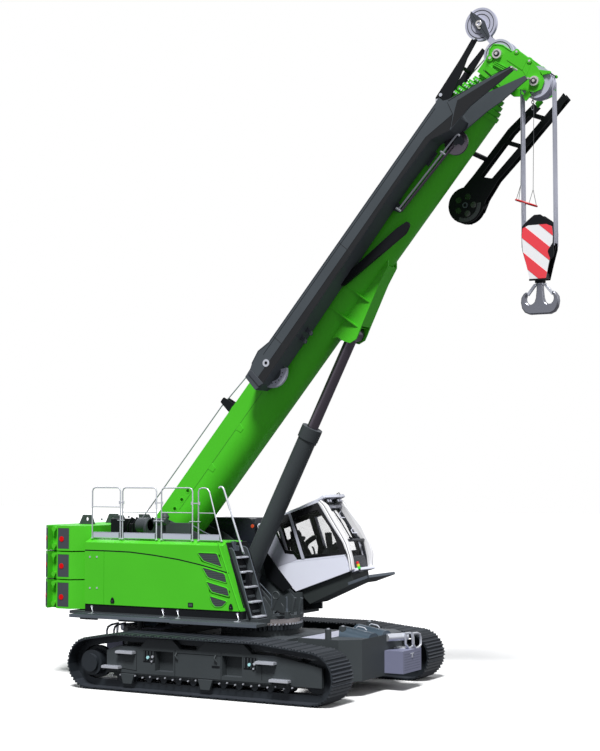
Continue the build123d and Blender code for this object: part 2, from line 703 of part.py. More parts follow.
with BuildPart() as cab_base:
    add_plate([(180, -330), (1250, -250), (1300, 0), (60, 0), (100, -180)],
              CAB_RIGHT + 80, CAB_LEFT - 80, frame=CAB)
    add_disc((23, -83), 75, 640, 1340, frame=CAB, bore=50)
    # Open step in front of the cab
    add_plate([(1240, -260), (1720, -260), (1720, -230), (1240, -230)], 460, 1640, frame=CAB)
save(cab_base, "cab_base")

with BuildPart() as cab_door:
    add_plate([(400, 30), (1190, 30), (1240, 420), (1255, 650), (1190, 1100), (1050, 1470), (400, 1470)],
              CAB_LEFT + 6, CAB_LEFT + 46, frame=CAB)
    add_plate([(470, 620), (1180, 460), (1190, 650), (1130, 1070), (1010, 1400), (470, 1400)],
              CAB_LEFT, CAB_LEFT + 60, frame=CAB, mode=Mode.SUBTRACT)
save(cab_door, "cab_door")

with BuildPart() as seat:
    add_plate([(150, 46), (600, 46), (640, 420), (240, 420), (120, 1080), (20, 1080), (90, 400)],
              760, 1200, frame=CAB)
save(seat, "cab_seat")


# ---------------------------------------------------------------- boom base
def section_face(half_width, rise_top, mode=Mode.ADD):
    """Flat-topped boom section with a half-round belly."""
    with BuildLine() as outline:
        Polyline((-half_width, SECTION_CENTRE), (-half_width, rise_top), (half_width, rise_top),
                 (half_width, SECTION_CENTRE))
        ThreePointArc((half_width, SECTION_CENTRE), (0, SECTION_CENTRE - half_width),
                      (-half_width, SECTION_CENTRE))
    make_face(outline.edges(), mode=mode)


def section_tube(start, end, number, proud=0):
    """Hollow section, counted from the base section, which is number 0."""
    half = BASE_HALF_WIDTH - number * SECTION_STEP
    top = SECTION_CENTRE + SECTION_TOP - number * SECTION_STEP
    with BuildSketch(boom_section(start)) as outline:
        section_face(half + proud, top + proud)
        section_face(half - SECTION_WALL, top - SECTION_WALL, Mode.SUBTRACT)
    extrude(outline.sketch, amount=end - start)


def cut_base_section():
    """Take the room of the base section out of a piece that stands on it."""
    with BuildSketch(boom_section(BASE_START)) as outline:
        section_face(BASE_HALF_WIDTH + 1, SECTION_CENTRE + SECTION_TOP + 1)
    extrude(outline.sketch, amount=BASE_END - BASE_START - COLLAR_LENGTH - 1, mode=Mode.SUBTRACT)


FOOT_LUG = [(-160, -120), (0, -190), (300, -240), (300, 180), (0, 180), (-160, 120)]
SIDE_HOLES = ((683, -74), (937, -87), (1174, -81))
ROPE_GUIDE = [(2960, 180), (3140, 180), (3085, 349), (3015, 349)]
with BuildPart() as boom_base:
    section_tube(BASE_START, BASE_END, 0)
    section_tube(BASE_END - COLLAR_LENGTH, BASE_END, 0, proud=15)
    # Foot lugs and pin bores
    for side in (-1, 1):
        y_low, y_high = between(side, FOOT_LUG_OUTER - 60, FOOT_LUG_OUTER)
        add_plate(FOOT_LUG, y_low, y_high, frame=BOOM)
        y_low, y_high = between(side, 100, 120)
        add_plate(ROPE_GUIDE, y_low, y_high, frame=BOOM)
    add_disc((3050, 300), 35, -100, 100, frame=BOOM, sides=16)
    add_disc((0, 0), FOOT_PIN_RADIUS + 1, -500, 500, frame=BOOM, mode=Mode.SUBTRACT)
    for hole in SIDE_HOLES:
        add_disc(hole, 40, -500, 500, frame=BOOM, mode=Mode.SUBTRACT, sides=12)
save(boom_base, "boom_base")

# Two webs under the boom hold the rod's eye between them; a flange and two ribs stiffen them
WEB_INNER = 165
WEB_OUTER = 205
WEB = [
    (5450, -560),
    (5673, -706),
    (5695, -869),
    (5754, -1010),
    (5895, -1069),
    (6000, -1045),
    (6161, -1000),
    (7050, -775),
    (7420, -715),
    (7560, -600),
    (7600, -480),
]
FLANGE = [(6161, -1000), (7050, -775), (7420, -715), (7420, -690), (7045, -750), (6155, -974)]
RIBS = ((6090, -960), (6620, -860))
RIB_THICK = 20
with BuildPart() as bracket:
    for side in (-1, 1):
        y_low, y_high = between(side, WEB_INNER, WEB_OUTER)
        add_plate(WEB, y_low, y_high, frame=BOOM)
    add_plate(FLANGE, -WEB_INNER, WEB_INNER, frame=BOOM)
    for rib_along, rib_bottom in RIBS:
        with BuildSketch(boom_section(rib_along)) as rib:
            with BuildLine():
                Polyline((-446, -330), (-WEB_OUTER, rib_bottom), (WEB_OUTER, rib_bottom), (446, -330), close=True)
            make_face()
        extrude(rib.sketch, amount=RIB_THICK)
    cut_base_section()
save(bracket, "luff_bracket")


# ---------------------------------------------------------------- telescopic sections
for number in range(1, SECTION_COUNT + 1):
    start = BASE_START + 150 + number * 60
    end = BASE_END + number * COLLAR_STEP
    with BuildPart() as section:
        section_tube(start, end, number)
        section_tube(end - COLLAR_LENGTH, end, number, proud=COLLAR_PROUD)
    save(section, f"boom_section_{number}")

HEAD_START = BASE_END + SECTION_COUNT * COLLAR_STEP
HEAD_PLATE = [
    (HEAD_START - 20, -560),
    (HEAD_START - 20, 70),
    (11750, 70),
    (11850, 110),
    (11980, 118),
    (12078, -40),
    (12085, -290),
    (12170, -345),
    (12168, -657),
    (12126, -862),
    (12071, -1043),
    (11990, -1180),
    (11843, -1227),
    (11713, -1139),
    (11607, -860),
]
HEAD_SHEAVES = (
    (LOWER_AXLE_RISE, FALLS_Y - 100),
    (LOWER_AXLE_RISE, FALLS_Y),
    (LOWER_AXLE_RISE, FALLS_Y + 100),
    (UPPER_AXLE_RISE, FALLS_Y - 100),
    (UPPER_AXLE_RISE, 0),
)
CHAIN_LUG = [(11500, -1110), (11540, -1010), (11700, -1000), (11640, -1130)]
with BuildPart() as head:
    for side in (-1, 1):
        y_low, y_high = between(side, HEAD_INNER, HEAD_OUTER)
        add_plate(HEAD_PLATE, y_low, y_high, frame=BOOM)
        add_plate(CHAIN_LUG, y_low, y_high, frame=BOOM)
    with BuildSketch(boom_section(HEAD_START)):
        with Locations((0, -220)):
            Rectangle(2 * HEAD_INNER, 560)
    extrude(amount=60)
    for rise in (LOWER_AXLE_RISE, UPPER_AXLE_RISE):
        add_disc((AXLE_ALONG, rise), AXLE_RADIUS, -360, 360, frame=BOOM)
save(head, "boom_head")

with BuildPart() as sheaves:
    for rise, y_middle in HEAD_SHEAVES:
        add_sheave((AXLE_ALONG, rise), SHEAVE_RADIUS, y_middle, frame=BOOM, bore=AXLE_RADIUS + 1)
save(sheaves, "head_sheaves")

# The nose plates hang on the upper head axle
NOSE_PLATE = [
    (12231, 1053),
    (12240, 688),
    (12068, 401),
    (12060, 60),
    (11990, -160),
    (11780, -160),
    (11800, 60),
    (11900, 100),
    (11972, 428),
    (12025, 671),
]
with BuildPart() as nose:
    for side in (-1, 1):
        y_low, y_high = between(side, 45, 75)
        add_plate(NOSE_PLATE, y_low, y_high, frame=BOOM)
    add_disc((AXLE_ALONG, UPPER_AXLE_RISE), AXLE_RADIUS + 0.5, -80, 80, frame=BOOM, mode=Mode.SUBTRACT)
    add_sheave((NOSE_ALONG, NOSE_RISE), NOSE_RADIUS, 0, frame=BOOM)
    add_disc((NOSE_ALONG, NOSE_RISE), 50, -110, 110, frame=BOOM)
save(nose, "nose_sheave")


# ---------------------------------------------------------------- stowed jib pieces
JIB_NEAR = -950           # the jib is stowed along the right-hand side of the boom
JIB_FAR = -462
LINK_OUTER = 480          # outer face of the link arm that the jib carries over the boom
HORN_THICK = 35
JIB_BODY = [
    (4194, 87),
    (4002, 76),
    (3946, -272),
    (4151, -339),
    (5478, -321),
    (7255, -274),
    (8980, -228),
    (9917, -262),
    (10289, -482),
    (10560, -490),
    (10713, -82),
    (10534, 87),
    (4872, 84),
    (4582, 171),
    (4314, 127),
]
NEAR_HORN = [
    (10400, 60),
    (10713, -82),
    (11884, -741),
    (11841, -827),
    (11496, -731),
    (11273, -659),
    (10860, -534),
    (10289, -482),
]
FAR_HORN = [
    (10400, 60),
    (10713, -110),
    (11868, -870),
    (11844, -952),
    (11545, -867),
    (11218, -774),
    (10944, -663),
    (10289, -482),
]
JIB_SHEAVE = (4385, -200)
JIB_LUG = [(10430, 60), (10600, 60), (10600, 330), (10500, 330)]
RAMP_PLATE = [(6604, -236), (6609, -375), (8335, -680), (8310, -811), (8700, -640), (8700, -200)]
with BuildPart() as jib:
    add_plate(JIB_BODY, JIB_NEAR, JIB_FAR, frame=BOOM)
    add_plate(NEAR_HORN, JIB_NEAR, JIB_NEAR + HORN_THICK, frame=BOOM)
    add_plate(FAR_HORN, JIB_FAR - HORN_THICK, JIB_FAR, frame=BOOM)
    add_disc(JIB_SHEAVE, 290, -670, -610, frame=BOOM, sides=28)
    add_plate(JIB_LUG, -LINK_OUTER - 30, -LINK_OUTER, frame=BOOM)
    # Brackets on the boom's side carry the jib
    for bracket_along in (5150, 9600):
        add_plate([(bracket_along - 150, -300), (bracket_along + 150, -300), (bracket_along + 150, 0),
                   (bracket_along - 150, 0)], JIB_FAR, -BASE_HALF_WIDTH, frame=BOOM)
save(jib, "stowed_jib")

# Link arm over the sections, and the jib's tip stowed on the far side
LINK_PLATE = [
    (10500, 130),
    (10480, 330),
    (10560, 400),
    (11400, 440),
    (11820, 480),
    (11890, 449),
    (11884, 380),
    (11500, 330),
    (11300, 270),
    (10720, 130),
]
MIDDLE_LINK_PLATE = [
    (10500, 230),
    (10480, 330),
    (10560, 400),
    (11400, 430),
    (11800, 400),
    (11790, 320),
    (11300, 280),
]
LINK_BARS = ((10620, 265), (11300, 345))
TIP_HOUSING = [
    (8820, -760),
    (8980, -560),
    (9700, -610),
    (9944, -1095),
    (9494, -1134),
    (9250, -1204),
    (8900, -1120),
]
TIP_UPPER_ARM = [(9700, -610), (10825, -640), (11500, -760), (11500, -860), (10800, -760), (9750, -740)]
TIP_LOWER_ARM = [
    (9750, -960),
    (10600, -1040),
    (11900, -1140),
    (11990, -1140),
    (11959, -1269),
    (10663, -1173),
    (9900, -1095),
]
TIP_STRUTS = (
    [(10560, -740), (10640, -740), (10760, -1100), (10680, -1100)],
    [(11250, -780), (11330, -780), (11450, -1160), (11370, -1160)],
)
TIP_SHEAVE = (9147, -844)
TIP_SIDES = ((800, 830), (970, 1000))
with BuildPart() as jib_tip:
    add_plate(LINK_PLATE, -LINK_OUTER, -LINK_OUTER + 30, frame=BOOM)
    add_plate(MIDDLE_LINK_PLATE, -60, -30, frame=BOOM)
    for bar in LINK_BARS:
        add_disc(bar, 38, -LINK_OUTER + 30, -60, frame=BOOM, sides=16)
    for y_low, y_high in TIP_SIDES:
        for outline in (TIP_HOUSING, TIP_UPPER_ARM, TIP_LOWER_ARM, *TIP_STRUTS):
            add_plate(outline, y_low, y_high, frame=BOOM)
        add_disc(TIP_SHEAVE, 360, y_low, y_high, frame=BOOM, sides=28)
    add_disc(TIP_SHEAVE, 330, 850, 950, frame=BOOM, sides=28)
    add_disc(TIP_SHEAVE, 60, 830, 970, frame=BOOM, sides=16)
    # Bars across to the boom's belly, and between the two sides at the tip
    add_plate([(10060, -660), (10140, -660), (10140, -560), (10060, -560)], 150, 970, frame=BOOM)
    add_plate([(9300, -1180), (9400, -1180), (9400, -1100), (9300, -1100)], 830, 970, frame=BOOM)
    add_plate([(11860, -1230), (11930, -1230), (11930, -1160), (11860, -1160)], 830, 970, frame=BOOM)
    cut_base_section()
save(jib_tip, "stowed_jib_tip")


# ---------------------------------------------------------------- luffing cylinder
CYLINDER = turned(TUBE_PIN[0], TUBE_PIN[2], CYLINDER_ANGLE)


def cylinder_section(along):
    """Plane square to the luffing cylinder."""
    origin = (TUBE_PIN[0] + along * cos(SLOPE), 0, TUBE_PIN[2] + along * sin(SLOPE))
    return Plane(origin=origin, x_dir=(0, 1, 0), z_dir=(cos(SLOPE), 0, sin(SLOPE)))


TUBE_BORE_START = 250     # the tube's bore begins this far from the foot eye
FOOT_EYE_RADIUS = 200
FOOT_EYE_HALF = 180
COLLAR_BAND = 250         # length of the thicker end where the rod comes out
with BuildPart() as tube:
    with BuildSketch(cylinder_section(100)):
        Circle(TUBE_RADIUS)
    extrude(amount=TUBE_LENGTH - 100)
    with BuildSketch(cylinder_section(TUBE_LENGTH - COLLAR_BAND)):
        Circle(TUBE_RADIUS + 25)
    extrude(amount=COLLAR_BAND)
    add_disc((0, 0), FOOT_EYE_RADIUS, -FOOT_EYE_HALF, FOOT_EYE_HALF, frame=CYLINDER)
    # Valve block beside the collar
    add_plate([(3000, -90), (3300, -90), (3300, 110), (3000, 110)], TUBE_RADIUS - 40, TUBE_RADIUS + 90,
              frame=CYLINDER)
    with BuildSketch(cylinder_section(TUBE_BORE_START)):
        Circle(ROD_RADIUS + 2)
    extrude(amount=TUBE_LENGTH, mode=Mode.SUBTRACT)
    add_disc((0, 0), 80, -200, 200, frame=CYLINDER, mode=Mode.SUBTRACT, sides=20)
save(tube, "luff_tube")

EYE_HALF_WIDTH = 150      # the rod's eye, between the boom's webs
with BuildPart() as rod:
    with BuildSketch(cylinder_section(ROD_START)):
        Circle(ROD_RADIUS)
    extrude(amount=CYLINDER_LENGTH - ROD_START - 60)
    add_disc((CYLINDER_LENGTH, 0), 165, -EYE_HALF_WIDTH, EYE_HALF_WIDTH, frame=CYLINDER)
    add_disc((CYLINDER_LENGTH, 0), 70, -WEB_INNER + 2, WEB_INNER - 2, frame=CYLINDER)
save(rod, "luff_rod")


# ---------------------------------------------------------------- falls and hook
LOWER_AXLE = boom_point(AXLE_ALONG, LOWER_AXLE_RISE)
HOOK_X = LOWER_AXLE[0]
BLOCK_AXLE_Z = 8400
FALL_X = SHEAVE_RADIUS + 13
ROPE_RADIUS = 11
with BuildPart() as falls:
    with BuildSketch(Plane.XY.offset(BLOCK_AXLE_Z)):
        for side in (-1, 1):
            for row in (-1, 1):
                with Locations((HOOK_X + side * FALL_X, FALLS_Y + row * FALLS_HALF)):
                    RegularPolygon(ROPE_RADIUS, 10)
    extrude(amount=LOWER_AXLE[2] - BLOCK_AXLE_Z)
save(falls, "rope_falls")

BLOCK_INNER = 110
BLOCK_OUTER = 130
# Right half of the block's side plates, from the bottom to the top: (half width, height)
BLOCK_HALF = ((150, 7785), (222, 8065), (300, 8340), (315, 8630), (300, 8790), (190, 8895), (60, 8990))
with BuildPart() as block:
    outline = [(HOOK_X + half, z) for half, z in BLOCK_HALF]
    outline += [(HOOK_X - half, z) for half, z in reversed(BLOCK_HALF)]
    for side in (-1, 1):
        y_low, y_high = between(side, BLOCK_INNER, BLOCK_OUTER)
        add_plate(outline, FALLS_Y + y_low, FALLS_Y + y_high)
        sheave_y = FALLS_Y + side * 60
        add_disc((HOOK_X, BLOCK_AXLE_Z), 285, sheave_y - 25, sheave_y + 25, sides=28)
    add_disc((HOOK_X, BLOCK_AXLE_Z), 60, FALLS_Y - BLOCK_INNER, FALLS_Y + BLOCK_INNER, sides=16)
    add_box((HOOK_X - 150, HOOK_X + 150), (FALLS_Y - BLOCK_INNER, FALLS_Y + BLOCK_INNER), (7800, 7900))
save(block, "hook_block")

# Ramshorn hook, with a bowl each side of its shank
HORN_WIDTH = 740
HORN_HEIGHT = 440
HORN_Z = 7370
BOWL_X = 185
BOWL_Z = 7450
with BuildPart() as hook:
    with BuildSketch(Plane.XY.offset(7500)):
        with Locations((HOOK_X, FALLS_Y)):
            Circle(55)
    extrude(amount=295)
    with BuildSketch(Plane.XZ.offset(-(FALLS_Y + 45))) as horns:
        with Locations((HOOK_X, HORN_Z)):
            RectangleRounded(HORN_WIDTH, HORN_HEIGHT, 215)
        for side in (-1, 1):
            with Locations((HOOK_X + side * BOWL_X, BOWL_Z)):
                Circle(105, mode=Mode.SUBTRACT)
            with BuildLine():
                Polyline((HOOK_X + side * 84, BOWL_Z), (HOOK_X + side * 70, HORN_Z + 260),
                         (HOOK_X + side * 400, HORN_Z + 260), (HOOK_X + side * 289, BOWL_Z), close=True)
            make_face(mode=Mode.SUBTRACT)
    extrude(horns.sketch, amount=90)
save(hook, "hook")
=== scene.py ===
"""Dresses the crawler crane: finishes, fittings, stage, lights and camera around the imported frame."""

import json
import logging
import math
from dataclasses import dataclass, field
from enum import Enum
from itertools import product

import bmesh
import bpy
from mathutils import Matrix, Vector


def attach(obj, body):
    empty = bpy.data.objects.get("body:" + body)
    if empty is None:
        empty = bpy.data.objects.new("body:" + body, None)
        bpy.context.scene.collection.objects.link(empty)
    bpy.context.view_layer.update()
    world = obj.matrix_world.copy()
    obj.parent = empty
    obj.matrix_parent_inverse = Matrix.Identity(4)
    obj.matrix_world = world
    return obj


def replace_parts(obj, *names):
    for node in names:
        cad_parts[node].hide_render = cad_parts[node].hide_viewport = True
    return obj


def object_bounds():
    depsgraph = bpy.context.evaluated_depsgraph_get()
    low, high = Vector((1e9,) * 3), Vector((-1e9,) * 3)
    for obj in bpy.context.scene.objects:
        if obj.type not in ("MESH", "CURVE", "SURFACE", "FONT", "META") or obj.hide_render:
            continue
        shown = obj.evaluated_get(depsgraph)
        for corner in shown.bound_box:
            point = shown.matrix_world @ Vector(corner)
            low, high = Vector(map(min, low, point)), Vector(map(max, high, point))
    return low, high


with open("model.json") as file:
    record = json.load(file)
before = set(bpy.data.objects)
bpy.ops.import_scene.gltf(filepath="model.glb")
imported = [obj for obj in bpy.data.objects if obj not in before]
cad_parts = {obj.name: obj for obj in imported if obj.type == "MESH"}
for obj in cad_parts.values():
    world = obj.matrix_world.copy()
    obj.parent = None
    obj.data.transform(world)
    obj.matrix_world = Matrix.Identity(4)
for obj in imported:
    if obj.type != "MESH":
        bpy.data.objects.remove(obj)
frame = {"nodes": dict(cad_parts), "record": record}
CAD_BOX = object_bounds()
RECORD_SLOTS = {entry["slot"] for entry in frame["record"]["materials"]}

log = logging.getLogger("crane")
Point = tuple[float, float, float]
Flat = tuple[float, float]
Colour = tuple[float, float, float]
Socket = bpy.types.NodeSocket

BOOM_ANGLE = math.radians(50.2)
BOOM_PIVOT = Vector((-2.3, 0.0, 3.0))
CAB_TILT = math.radians(19.8)
CAB_CORNER = Vector((0.53, 0.0, 1.81))
HAIRLINE = 0.0045               # radius of a fold or seam line
BEVEL_FROM = math.radians(35)   # sharper edges than this are rounded
SMOOTH_TO = math.radians(32)    # flatter edges than this are shaded smooth


# -------- finishes
class Tree:
    """Shader nodes of a material or of the world."""

    def __init__(self, owner: bpy.types.Material | bpy.types.World) -> None:
        """Switch the owner's nodes on and hold them."""
        owner.use_nodes = True
        self.nodes, self.links = owner.node_tree.nodes, owner.node_tree.links

    def feed(self, node: bpy.types.Node, inputs: dict[str | int, object]) -> None:
        """Fill inputs of a node.

        Args:
            node: The node.
            inputs: For each input a socket, which is linked to it, or a value, which is set on it.
        """
        for name, value in inputs.items():
            if isinstance(value, Socket):
                self.links.new(value, node.inputs[name])
            else:
                node.inputs[name].default_value = value

    def add(self, kind: str, output: str, inputs: dict[str | int, object] | None = None, **settings: str) -> Socket:
        """Add a node.

        Args:
            kind: Its type, without "ShaderNode".
            output: The output that is wanted.
            inputs: What its inputs are fed.
            settings: Its own settings, such as an operation.

        Returns:
            The output's socket.
        """
        node = self.nodes.new("ShaderNode" + kind)
        for name, value in settings.items():
            setattr(node, name, value)
        self.feed(node, inputs or {})
        return node.outputs[output]

    def ranged(self, value: Socket, low: float, high: float, span: Flat = (0.0, 1.0)) -> Socket:
        """Carry a value over to another range.

        Args:
            value: The value.
            low: Result at the low end.
            high: Result at the high end.
            span: The two ends of the range that the value comes in.

        Returns:
            The result.
        """
        return self.add("MapRange", "Result", {"From Min": span[0], "From Max": span[1], "To Min": low,
                                               "To Max": high, "Value": value})


class Grain(Enum):
    """How the fine surface of a finish is broken up."""

    SPRAY = "spray"
    CAST = "cast"
    BRUSHED = "brushed"
    WOVEN = "woven"


STRETCH = {Grain.BRUSHED: (1.0, 6.0, 6.0), Grain.WOVEN: (3.0, 3.0, 1.0)}
FINEST_DRIFT = 10           # noise coarser than this, in cells per metre, is never stretched
# Pale bluish tone that faces looking up are turned towards: a painted sheen of light from above
TOP_SHEEN_COLOUR = (0.32, 0.34, 0.42, 1)


@dataclass(frozen=True)
class Finish:
    """A surface finish, made once as a procedural material.

    Attributes:
        name: Material name, which is also the record's slot unless slot is given.
        colour: Linear base colour.
        roughness: Middle roughness.
        metallic: 0 for paint, 1 for bare metal.
        coat: Clear coat weight.
        shine: Specular level of paint.
        variation: How far the colour wanders, as a share.
        bump: Height of the fine grain, in metres.
        scale: Grain cells per metre.
        grain: Kind of fine grain.
        top_sheen: Share of a pale bluish sheen on faces that look up, painted light from above.
        slot: The record's material slot, where it isn't the finish's own name.
    """

    name: str
    colour: Colour
    roughness: float = 0.4
    metallic: float = 0.0
    coat: float = 0.0
    shine: float = 0.5
    variation: float = 0.08
    bump: float = 0.0004
    scale: float = 60.0
    grain: Grain = Grain.SPRAY
    # Painted highlight: share of the pale sheen on faces that look up
    top_sheen: float = 0.0
    slot: str = ""

    @property
    def record_slot(self) -> str:
        """Name of the record's material slot, or nothing where the record has none for it."""
        name = self.slot or self.name
        return name if name in RECORD_SLOTS else ""

    def material(self) -> bpy.types.Material:
        """Build the material, or give the one that was already built.

        Returns:
            The Blender material.
        """
        known = bpy.data.materials.get("finish_" + self.name)
        if known:
            return known
        made = bpy.data.materials.new("finish_" + self.name)
        tree = Tree(made)
        place = tree.add("TexCoord", "Object")
        drift = self._noise(tree, place, 0.9, 4.0)
        fine = self._noise(tree, place, self.scale, 3.0)
        tree.feed(tree.nodes["Principled BSDF"], {
            "Metallic": self.metallic, "Coat Weight": self.coat, "Specular IOR Level": self.shine,
            "Coat Roughness": 0.12, "Base Color": self._tint(tree, drift), "Roughness": self._shine(tree, drift, fine),
            "Normal": tree.add("Bump", "Normal", {"Distance": self.bump, "Strength": 0.6, "Height": fine})})
        return made

    def _noise(self, tree: Tree, place: Socket, scale: float, detail: float) -> Socket:
        """Noise over object space, stretched along one axis where the grain has a direction.

        Args:
            tree: The material's nodes.
            place: Object coordinates.
            scale: Cells per metre.
            detail: Octaves of finer noise.

        Returns:
            The noise.
        """
        if self.grain in STRETCH and scale > FINEST_DRIFT:
            place = tree.add("Mapping", "Vector", {"Scale": STRETCH[self.grain], "Vector": place})
        return tree.add("TexNoise", "Fac", {"Scale": scale, "Detail": detail, "Vector": place})

    def _tint(self, tree: Tree, drift: Socket) -> Socket:
        """Base colour, wandering a little from place to place, with a painted pale sheen on upward faces.

        Args:
            tree: The material's nodes.
            drift: Slow noise.

        Returns:
            The colour.
        """
        colour = tree.add("ValToRGB", "Color", {"Fac": drift})
        stops = colour.node.color_ramp.elements
        for stop, position, share in zip(stops, (0.3, 0.7), (1.0 - self.variation, 1.0 + self.variation)):
            stop.position = position
            stop.color = (*[min(part * share, 1.0) for part in self.colour], 1)
        if not self.top_sheen:
            return colour
        # Painted highlight: faces that look up turn towards a pale bluish sheen
        upward = tree.add("SeparateXYZ", "Z", {"Vector": tree.add("NewGeometry", "Normal")})
        amount = tree.ranged(upward, 0.0, self.top_sheen, (0.5, 1.0))
        return tree.add("Mix", "Result", {"B": TOP_SHEEN_COLOUR, "Factor": amount, "A": colour}, data_type="RGBA")

    def _shine(self, tree: Tree, drift: Socket, fine: Socket) -> Socket:
        """Roughness that follows both the slow drift and the fine grain.

        Args:
            tree: The material's nodes.
            drift: Slow noise.
            fine: Fine noise.

        Returns:
            The roughness.
        """
        blend = tree.add("Math", "Value", {0: fine, 1: 0.35, 2: drift}, operation="MULTIPLY_ADD")
        return tree.ranged(blend, max(self.roughness - 0.07, 0.03), min(self.roughness + 0.09, 1.0), (0.3, 1.0))


GREEN = Finish("green_paint", (0.075, 0.560, 0.020), 0.45, coat=0.04, shine=0.25, variation=0.03)
DARK_GREY = Finish("dark_grey_paint", (0.045, 0.053, 0.057), 0.5, shine=0.3, top_sheen=0.06)
BLACK = Finish("black_paint", (0.007, 0.008, 0.010), 0.5, shine=0.16, variation=0.15)
TRACK = Finish("track_steel", (0.026, 0.032, 0.039), 0.42, 0.35, variation=0.22, bump=0.0015,
               scale=28.0, grain=Grain.CAST, top_sheen=0.10)
LAVENDER = Finish("lavender_grey_paint", (0.50, 0.51, 0.62), 0.4, variation=0.05, top_sheen=0.1)
GALVANISED = Finish("galvanised_steel", (0.66, 0.68, 0.74), 0.33, 0.55, variation=0.1, grain=Grain.BRUSHED)
MACHINED = Finish("machined_steel", (0.80, 0.76, 0.73), 0.25, 0.9, variation=0.03, bump=0.0001, scale=90.0,
                  grain=Grain.BRUSHED)
WHITE = Finish("white_paint", (0.84, 0.86, 0.98), 0.3, coat=0.3, variation=0.02)
SEAT = Finish("black_fabric", (0.022, 0.022, 0.026), 0.85, bump=0.001, scale=220.0, grain=Grain.WOVEN)
ROD = Finish("rod_steel", (0.14, 0.12, 0.145), 0.2, 0.85, variation=0.08, grain=Grain.BRUSHED)
ROPE = Finish("rope_steel", (0.42, 0.43, 0.50), 0.42, 0.5, variation=0.15, bump=0.002, scale=130.0)
BLOCK = Finish("block_paint", (0.006, 0.007, 0.009), 0.4, shine=0.16, variation=0.1)
FORGED = Finish("forged_steel", (0.26, 0.265, 0.30), 0.24, 0.85, variation=0.12, bump=0.001, scale=25.0,
                grain=Grain.CAST)
FINISHES = {f.name: f for f in (GREEN, DARK_GREY, BLACK, TRACK, LAVENDER, GALVANISED, MACHINED, WHITE, SEAT, ROD,
                                ROPE, BLOCK, FORGED)}

GLOSS_BLACK = Finish("gloss_black", (0.006, 0.006, 0.007), 0.14, coat=0.3, variation=0.1, bump=0.0, slot="black_paint")
# Near-black inner skin of the cab: painted shade, so that the inside looks dark through the glass
SHADE_LINER = Finish("cab_liner", (0.010, 0.010, 0.011), 0.7, shine=0.2, scale=150.0, slot="black_paint")
CONSOLE = Finish("console_grey", (0.022, 0.027, 0.028), 0.5, scale=150.0, slot="black_paint")
PILLAR = Finish("pillar_lavender", (0.50, 0.51, 0.60), 0.35, coat=0.2, variation=0.02, slot="white_paint")
YELLOW = Finish("signal_yellow", (0.72, 0.56, 0.01), 0.4, variation=0.06)
SIGNAL_GREEN = Finish("signal_green", (0.02, 0.75, 0.03), 0.35, variation=0.05)
ORANGE = Finish("lamp_orange", (0.85, 0.09, 0.02), 0.3, coat=0.3, variation=0.05)
HOOD = Finish("hood_blue_black", (0.013, 0.016, 0.024), 0.35, coat=0.15, variation=0.06, slot="black_paint")
BOX_LAVENDER = Finish("box_lavender", (0.20, 0.21, 0.31), 0.4, variation=0.06, slot="lavender_grey_paint")
BASE_GREY = Finish("base_grey", (0.030, 0.036, 0.036), 0.5, shine=0.3, slot="dark_grey_paint")
# Painted shade: darker grey for the jib's lower faces, which turn away from the light
SHADE_UNDER_FOLDS = Finish("fold_grey", (0.020, 0.021, 0.023), 0.55, shine=0.2, slot="dark_grey_paint")
STRIPE_WHITE = Finish("stripe_white", (0.95, 0.95, 0.97), 0.4, coat=0.2, variation=0.02, slot="white_paint")
JIB_GREY = Finish("jib_grey", (0.066, 0.078, 0.088), 0.5, shine=0.3, slot="dark_grey_paint")
RACE = Finish("race_steel", (0.80, 0.72, 0.69), 0.3, 0.35, variation=0.03, bump=0.0, slot="machined_steel")
LOUVRE = Finish("louvre_grey", (0.060, 0.076, 0.078), 0.5, shine=0.3, slot="dark_grey_paint")
PANEL_GREY = Finish("panel_grey", (0.060, 0.068, 0.080), 0.55, shine=0.25, slot="dark_grey_paint")
STEP_GREY = Finish("step_grey", (0.105, 0.125, 0.150), 0.5, 0.2, variation=0.15, slot="dark_grey_paint")
REFLECTOR = Finish("reflector_red", (0.72, 0.002, 0.004), 0.4, shine=0.2, variation=0.05, bump=0.001, scale=160.0)
RED = Finish("signal_red", (0.62, 0.010, 0.012), 0.4, coat=0.1, variation=0.06)
CHAIN = Finish("chain_steel", (0.10, 0.105, 0.11), 0.45, 0.7, variation=0.3, bump=0.001, scale=40.0)
SEAM_GREEN = Finish("seam_green", (0.020, 0.16, 0.006), 0.5, slot="green_paint")
STRIPE_RED = Finish("stripe_red", (0.90, 0.055, 0.075), 0.4, coat=0.2, variation=0.03)
LID_BLUE = Finish("lid_blue_grey", (0.060, 0.090, 0.120), 0.3, 0.3, variation=0.12)
SIGHT_CYAN = Finish("sight_cyan", (0.45, 0.85, 0.88), 0.2, coat=0.5, variation=0.04)


@dataclass(frozen=True)
class Glass:
    """Thin tinted glass, a little dusty, that shows what lies behind it.

    Attributes:
        name: Material name.
        tint: Linear colour of the pane.
        cover: How much one face of a pane hides.
        record_slot: The record's material slot, empty because it has none for glass.
    """

    name: str = "tinted_glass"
    tint: Colour = (0.03, 0.033, 0.028)
    cover: float = 0.15
    record_slot: str = ""

    def material(self) -> bpy.types.Material:
        """Build the glass, or give the one that was already built.

        Returns:
            The Blender material.
        """
        known = bpy.data.materials.get("finish_" + self.name)
        if known:
            return known
        made = bpy.data.materials.new("finish_" + self.name)
        tree = Tree(made)
        haze = tree.add("TexNoise", "Fac", {"Scale": 3.0, "Vector": tree.add("TexCoord", "Object")})
        tree.feed(tree.nodes["Principled BSDF"], {
            "Base Color": (*self.tint, 1), "Specular IOR Level": 0.6, "Roughness": tree.ranged(haze, 0.03, 0.12),
            "Alpha": tree.ranged(haze, self.cover - 0.02, self.cover + 0.03)})
        return made


GLASS = Glass()
CLEAR = Glass("clear_glass", (0.05, 0.055, 0.055), 0.05)


